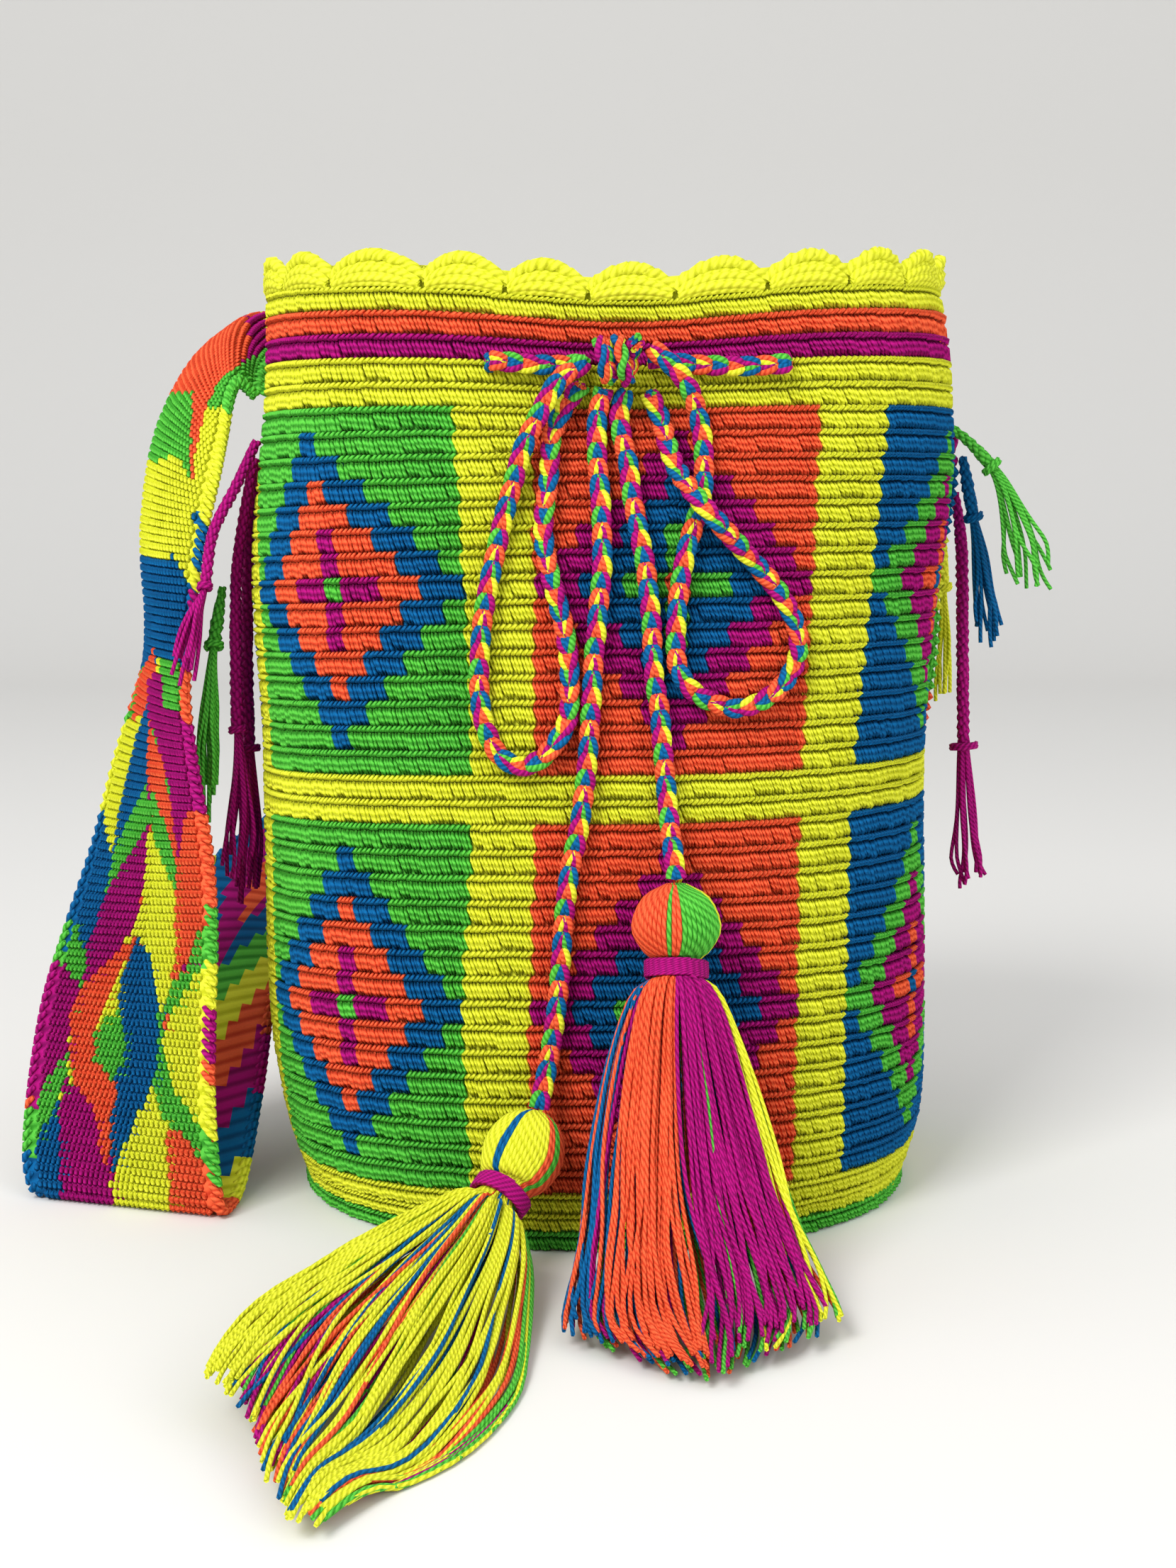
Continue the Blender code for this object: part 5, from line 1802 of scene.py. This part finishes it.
    def guide(self, first: int, last: int) -> Mesh:
        """A point for each grain on the outer face and the edges, in brick order.

        Args:
            first: the first row.
            last: the row after the last.

        Returns:
            The guide.
        """
        across_count = round(self.woven / self.grain[1])
        rows, places, scale = [], [], []
        for row in range(first, last):
            for k in range(across_count):
                u = (k + 0.5 + (0.5 if row % 2 else 0.0)) / (across_count + 0.5) * 2 - 1
                rows.append(row)
                places.append(u * 0.9)
                scale.append((1.34 * self.grain[0], 1.0, 1.06 * self.grain[1]))
        rows_, places_ = np.array(rows, float), np.array(places)
        points, along, across, normal = self.grid(places_, rows_, self.thick / 2 - 0.75)
        lean = unit(along + across * np.where(places_ > self.spine, self.lean, -self.lean)[:, None])
        return stitch_guide(points, normal, lean, np.array(scale), self.yarns_at(rows_, places_, points))

    def template(self) -> Object:
        """One grain: a plump spindle one unit long and wide, lying along X.

        Returns:
            The template's object.
        """
        verts: list = []
        faces: list = []
        lay: list = []
        line = [(-0.52, -0.25, 0), (-0.2, 0.55, 0), (0.2, 0.55, 0), (0.52, -0.25, 0)]
        p = [np.array(q, float) for q in line]
        verts.append(tuple(p[0]))
        lay.append((1.0, 0.0, 0.0))
        for ring in (p[1], p[2]):
            for out_, side in ((0.65, 0.0), (-0.45, 0.5), (-0.45, -0.5)):
                verts.append((ring[0], ring[1] + out_, side))
                lay.append((out_, side, ring[0] * 1.6))
        verts.append(tuple(p[3]))
        lay.append((1.0, 0.0, 1.6))
        for k in range(3):
            a, b = 1 + k, 1 + (k + 1) % 3
            faces += [(0, b, a), (a, b, b + 3, a + 3), (a + 3, b + 3, 7)]
        mesh = bpy.data.meshes.new("grain")
        mesh.from_pydata(verts, [], [tuple(reversed(f)) for f in faces])
        keep(mesh, "lay", lay)
        return bpy.data.objects.new("grain", mesh)

    def core(self) -> Object:
        """The strap's body: a closed sheet that shows between the grains and on the inner side.

        Returns:
            The piece.
        """
        count, sides = len(self.surface()[0]), 16
        places = np.linspace(-1, 1, sides + 1)
        rows = np.arange(count, dtype=float)
        outer = self.grid(places[None, :], rows[:, None], self.thick / 2 - 0.8)[0]
        inner = self.grid(places[None, ::-1], rows[:, None], -self.thick / 2)[0]
        rings = np.concatenate([outer, inner], axis=1)
        n = rings.shape[1]
        across = np.concatenate([places, places[::-1]])
        yarns = self.yarns_at(np.repeat(rows[:-1], n), np.tile(across, count - 1), rings[:-1].reshape(-1, 3))
        faces = []
        for i in range(count - 1):
            for k in range(n):
                after = (k + 1) % n
                faces.append(((i + 1) * n + k, (i + 1) * n + after, i * n + after, i * n + k))
        faces += [tuple(range(n)), tuple((count - 1) * n + k for k in reversed(range(n)))]
        return closed_cloth("strap_core", rings, faces, [*yarns, O.value, O.value], 0.9)

    def edges(self, sweep: Sweep) -> Object:
        """The braided edges: two rows of slanting stitches along either side.

        Args:
            sweep: the tree that sweeps yarn.

        Returns:
            The piece.
        """
        strands = Strands()
        count = len(self.surface()[0])
        for hand in (-1, 1):
            spots = np.arange(0.5, count - 1.5, self.edge / self.grain[0])
            rim = np.full(len(spots), hand * 0.98)
            yarns = self.yarns_at(spots, rim, self.grid(rim, spots, 0.0)[0])
            for row, number in zip(spots, yarns):
                yarn = Yarn(number)
                for face in (1, -1):
                    r = np.array([row + 0.9, row + 0.2, row - 0.5])
                    u = np.array([1.035, 1.0, 0.94]) * hand
                    p, _along, _across, normal = self.grid(u, r, 0.0)
                    p = p + normal * (np.array([0.0, 1.0, 0.9]) * face)[:, None]
                    p[:, 2] = np.maximum(p[:, 2], self.press)
                    strands.put(p, np.array([0.75, 1.15, 0.8]), yarn)
        return sweep.make("strap_edges", strands, 5, 2.4)

    def sewing(self, sweep: Sweep) -> Object:
        """The seams: yarn that goes over and over from the wall through each end of the strap.

        Args:
            sweep: the tree that sweeps yarn.

        Returns:
            The piece.
        """
        strands, last = Strands(), len(self.surface()[0]) - 1
        for end, inward in ((0, 1), (last, -1)):
            places = np.linspace(-0.97, 0.97, self.sewn)
            points = self.grid(places, np.full(self.sewn, float(end)), 0.0)[0]
            yarns = self.yarns_at(np.full(self.sewn, end + inward * 1.0), places, points)
            for u, number in zip(places, yarns):
                across = np.full(4, u)
                rows = end + inward * np.array([0.0, 0.0, 1.0, 1.7])
                lift = np.array([0.0, self.thick / 2 + 0.5, self.thick / 2 + 0.7, 0.4])
                line = self.grid(across, rows, lift[:, None])[0]
                middle, half_width, half_depth = (float(v) for v in self.wall.oval(float(line[0, 2])))
                reach = self.wall.reach(min(1.0, abs(line[0, 1] / half_depth)))
                line[0, 0] = middle - inward * (half_width * reach - 0.4)
                strands.put(smooth_line(line, 3), 0.95, Yarn(number))
        return sweep.make("strap_sewing", strands, 5, 2.4)

    def make(self, sweep: Sweep, tree: NodeTree) -> list[Object]:
        """Weave the strap.

        Args:
            sweep: the tree that sweeps yarn.
            tree: the tree that sets grains.

        Returns:
            Its pieces.
        """
        grain = self.template()
        count = len(self.surface()[0])
        made = [self.core()]
        made.append(run_tree("strap_weave", self.guide(1, count - 1), tree, {"Stitch": grain, "Relief": 1.0}))
        made += [self.edges(sweep), self.sewing(sweep)]
        bpy.data.objects.remove(grain)
        for piece in made:
            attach(piece, "root")
            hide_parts("strap")
        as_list(made[1:])
        return made


# Stage


@dataclass(frozen=True)
class MattPaper:
    """Uncoated background paper: an even pale ground without gloss, which takes a soft shadow."""

    name: str = "matt_paper_sweep"
    colour: str = "#DEDCD8"
    roughness: float = 0.9

    def material(self) -> Material:
        """Make the paper's material.

        Returns:
            The material.
        """
        made = bpy.data.materials.new(self.name)
        made.use_nodes = True
        shader = made.node_tree.nodes["Principled BSDF"]
        shader.inputs["Base Color"].default_value = linear(self.colour)
        shader.inputs["Roughness"].default_value = self.roughness
        return made


@dataclass
class Studio:
    """Floor, soft light and the camera at the photograph's viewpoint."""

    camera_down: float = 6.635  # degrees below the horizon
    lens: float = 50.66
    paper: MattPaper = MattPaper()
    sky: str = "#F2F4F7"
    sky_level: float = 0.95
    lit: tuple[float, float, float] = (0.0, 0.0, 0.14)  # what the lamps are turned to, in metres

    def make(self) -> None:
        """Set up the whole stage."""
        self.camera()
        self.ground()
        self.lamps()
        bpy.context.scene.view_settings.view_transform = "Standard"

    def camera(self) -> None:
        """Place the camera."""
        data = bpy.data.cameras.new("camera")
        data.lens, data.sensor_width = self.lens, 36.0
        data.clip_start, data.clip_end = 0.01, 50.0
        thing = bpy.data.objects.new("camera", data)
        thing.location = CAMERA_PLACE
        thing.rotation_euler = (math.radians(90 - self.camera_down), 0, 0)
        bpy.context.scene.collection.objects.link(thing)
        bpy.context.scene.camera = thing

    def ground(self) -> None:
        """Lay a pale floor that sweeps up behind the bag."""
        mesh = bpy.data.meshes.new("floor")
        back, bend = 2.2, 0.8
        profile = [(-3.0, 0.0), (back, 0.0)]
        profile += [(back + bend * math.sin(a), bend - bend * math.cos(a))
                    for a in np.linspace(0, math.pi / 2, 12)[1:]]
        profile.append((back + bend, 4.0))
        verts = [(x, y, z) for y, z in profile for x in (-4.0, 4.0)]
        faces = [(2 * k, 2 * k + 1, 2 * k + 3, 2 * k + 2) for k in range(len(profile) - 1)]
        mesh.from_pydata(verts, [], faces)
        mesh.shade_smooth()
        mesh.materials.append(self.paper.material())
        thing = bpy.data.objects.new("floor", mesh)
        bpy.context.scene.collection.objects.link(thing)

    def lamps(self) -> None:
        """Hang a large soft key light, a fill and an even sky."""
        world = bpy.data.worlds.new("sky")
        bpy.context.scene.world = world
        world.use_nodes = True
        background = world.node_tree.nodes["Background"]
        background.inputs["Color"].default_value = linear(self.sky)
        background.inputs["Strength"].default_value = self.sky_level
        lamps = (("key", (-0.8, -1.3, 1.4), 0.8, 30.0), ("fill", (1.2, -1.3, 0.6), 1.0, 8.0))
        for name, where, size, power in lamps:
            data = bpy.data.lights.new(name, "AREA")
            data.size, data.energy = size, power
            thing = bpy.data.objects.new(name, data)
            thing.location = where
            aim = Vector(self.lit) - Vector(where)
            thing.rotation_euler = aim.to_track_quat("-Z", "Y").to_euler()
            bpy.context.scene.collection.objects.link(thing)


def main() -> None:
    """Build the bag's looks in order and measure them."""
    logging.basicConfig(level=logging.INFO, format="%(name)s %(message)s")
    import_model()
    Studio().make()
    wall, sweep = Wall(), Sweep()
    left = Tassel("left", "yellow_yarn", TASSEL_LEFT, LEFT_HEAD, LEFT_LOCKS, LEFT_CUT, sweep, SEED)
    right = Tassel("right", "orange_yarn", TASSEL_RIGHT, RIGHT_HEAD, RIGHT_LOCKS, RIGHT_CUT, sweep, SEED + 1)
    Drawstring(wall, sweep).make({"tail_left": left.make()[:2], "tail_right": right.make()[:2]})
    for fringe in FRINGES:
        fringe.make(sweep)
    stitches = Stitches(wall)
    Strap(wall).make(sweep, stitches.tree())
    for piece in [*stitches.make(), Cloth(wall).make(), Shells(wall, sweep).make()]:
        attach(piece, "root")
        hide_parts("bag_body")


if __name__ == "__main__":
    main()
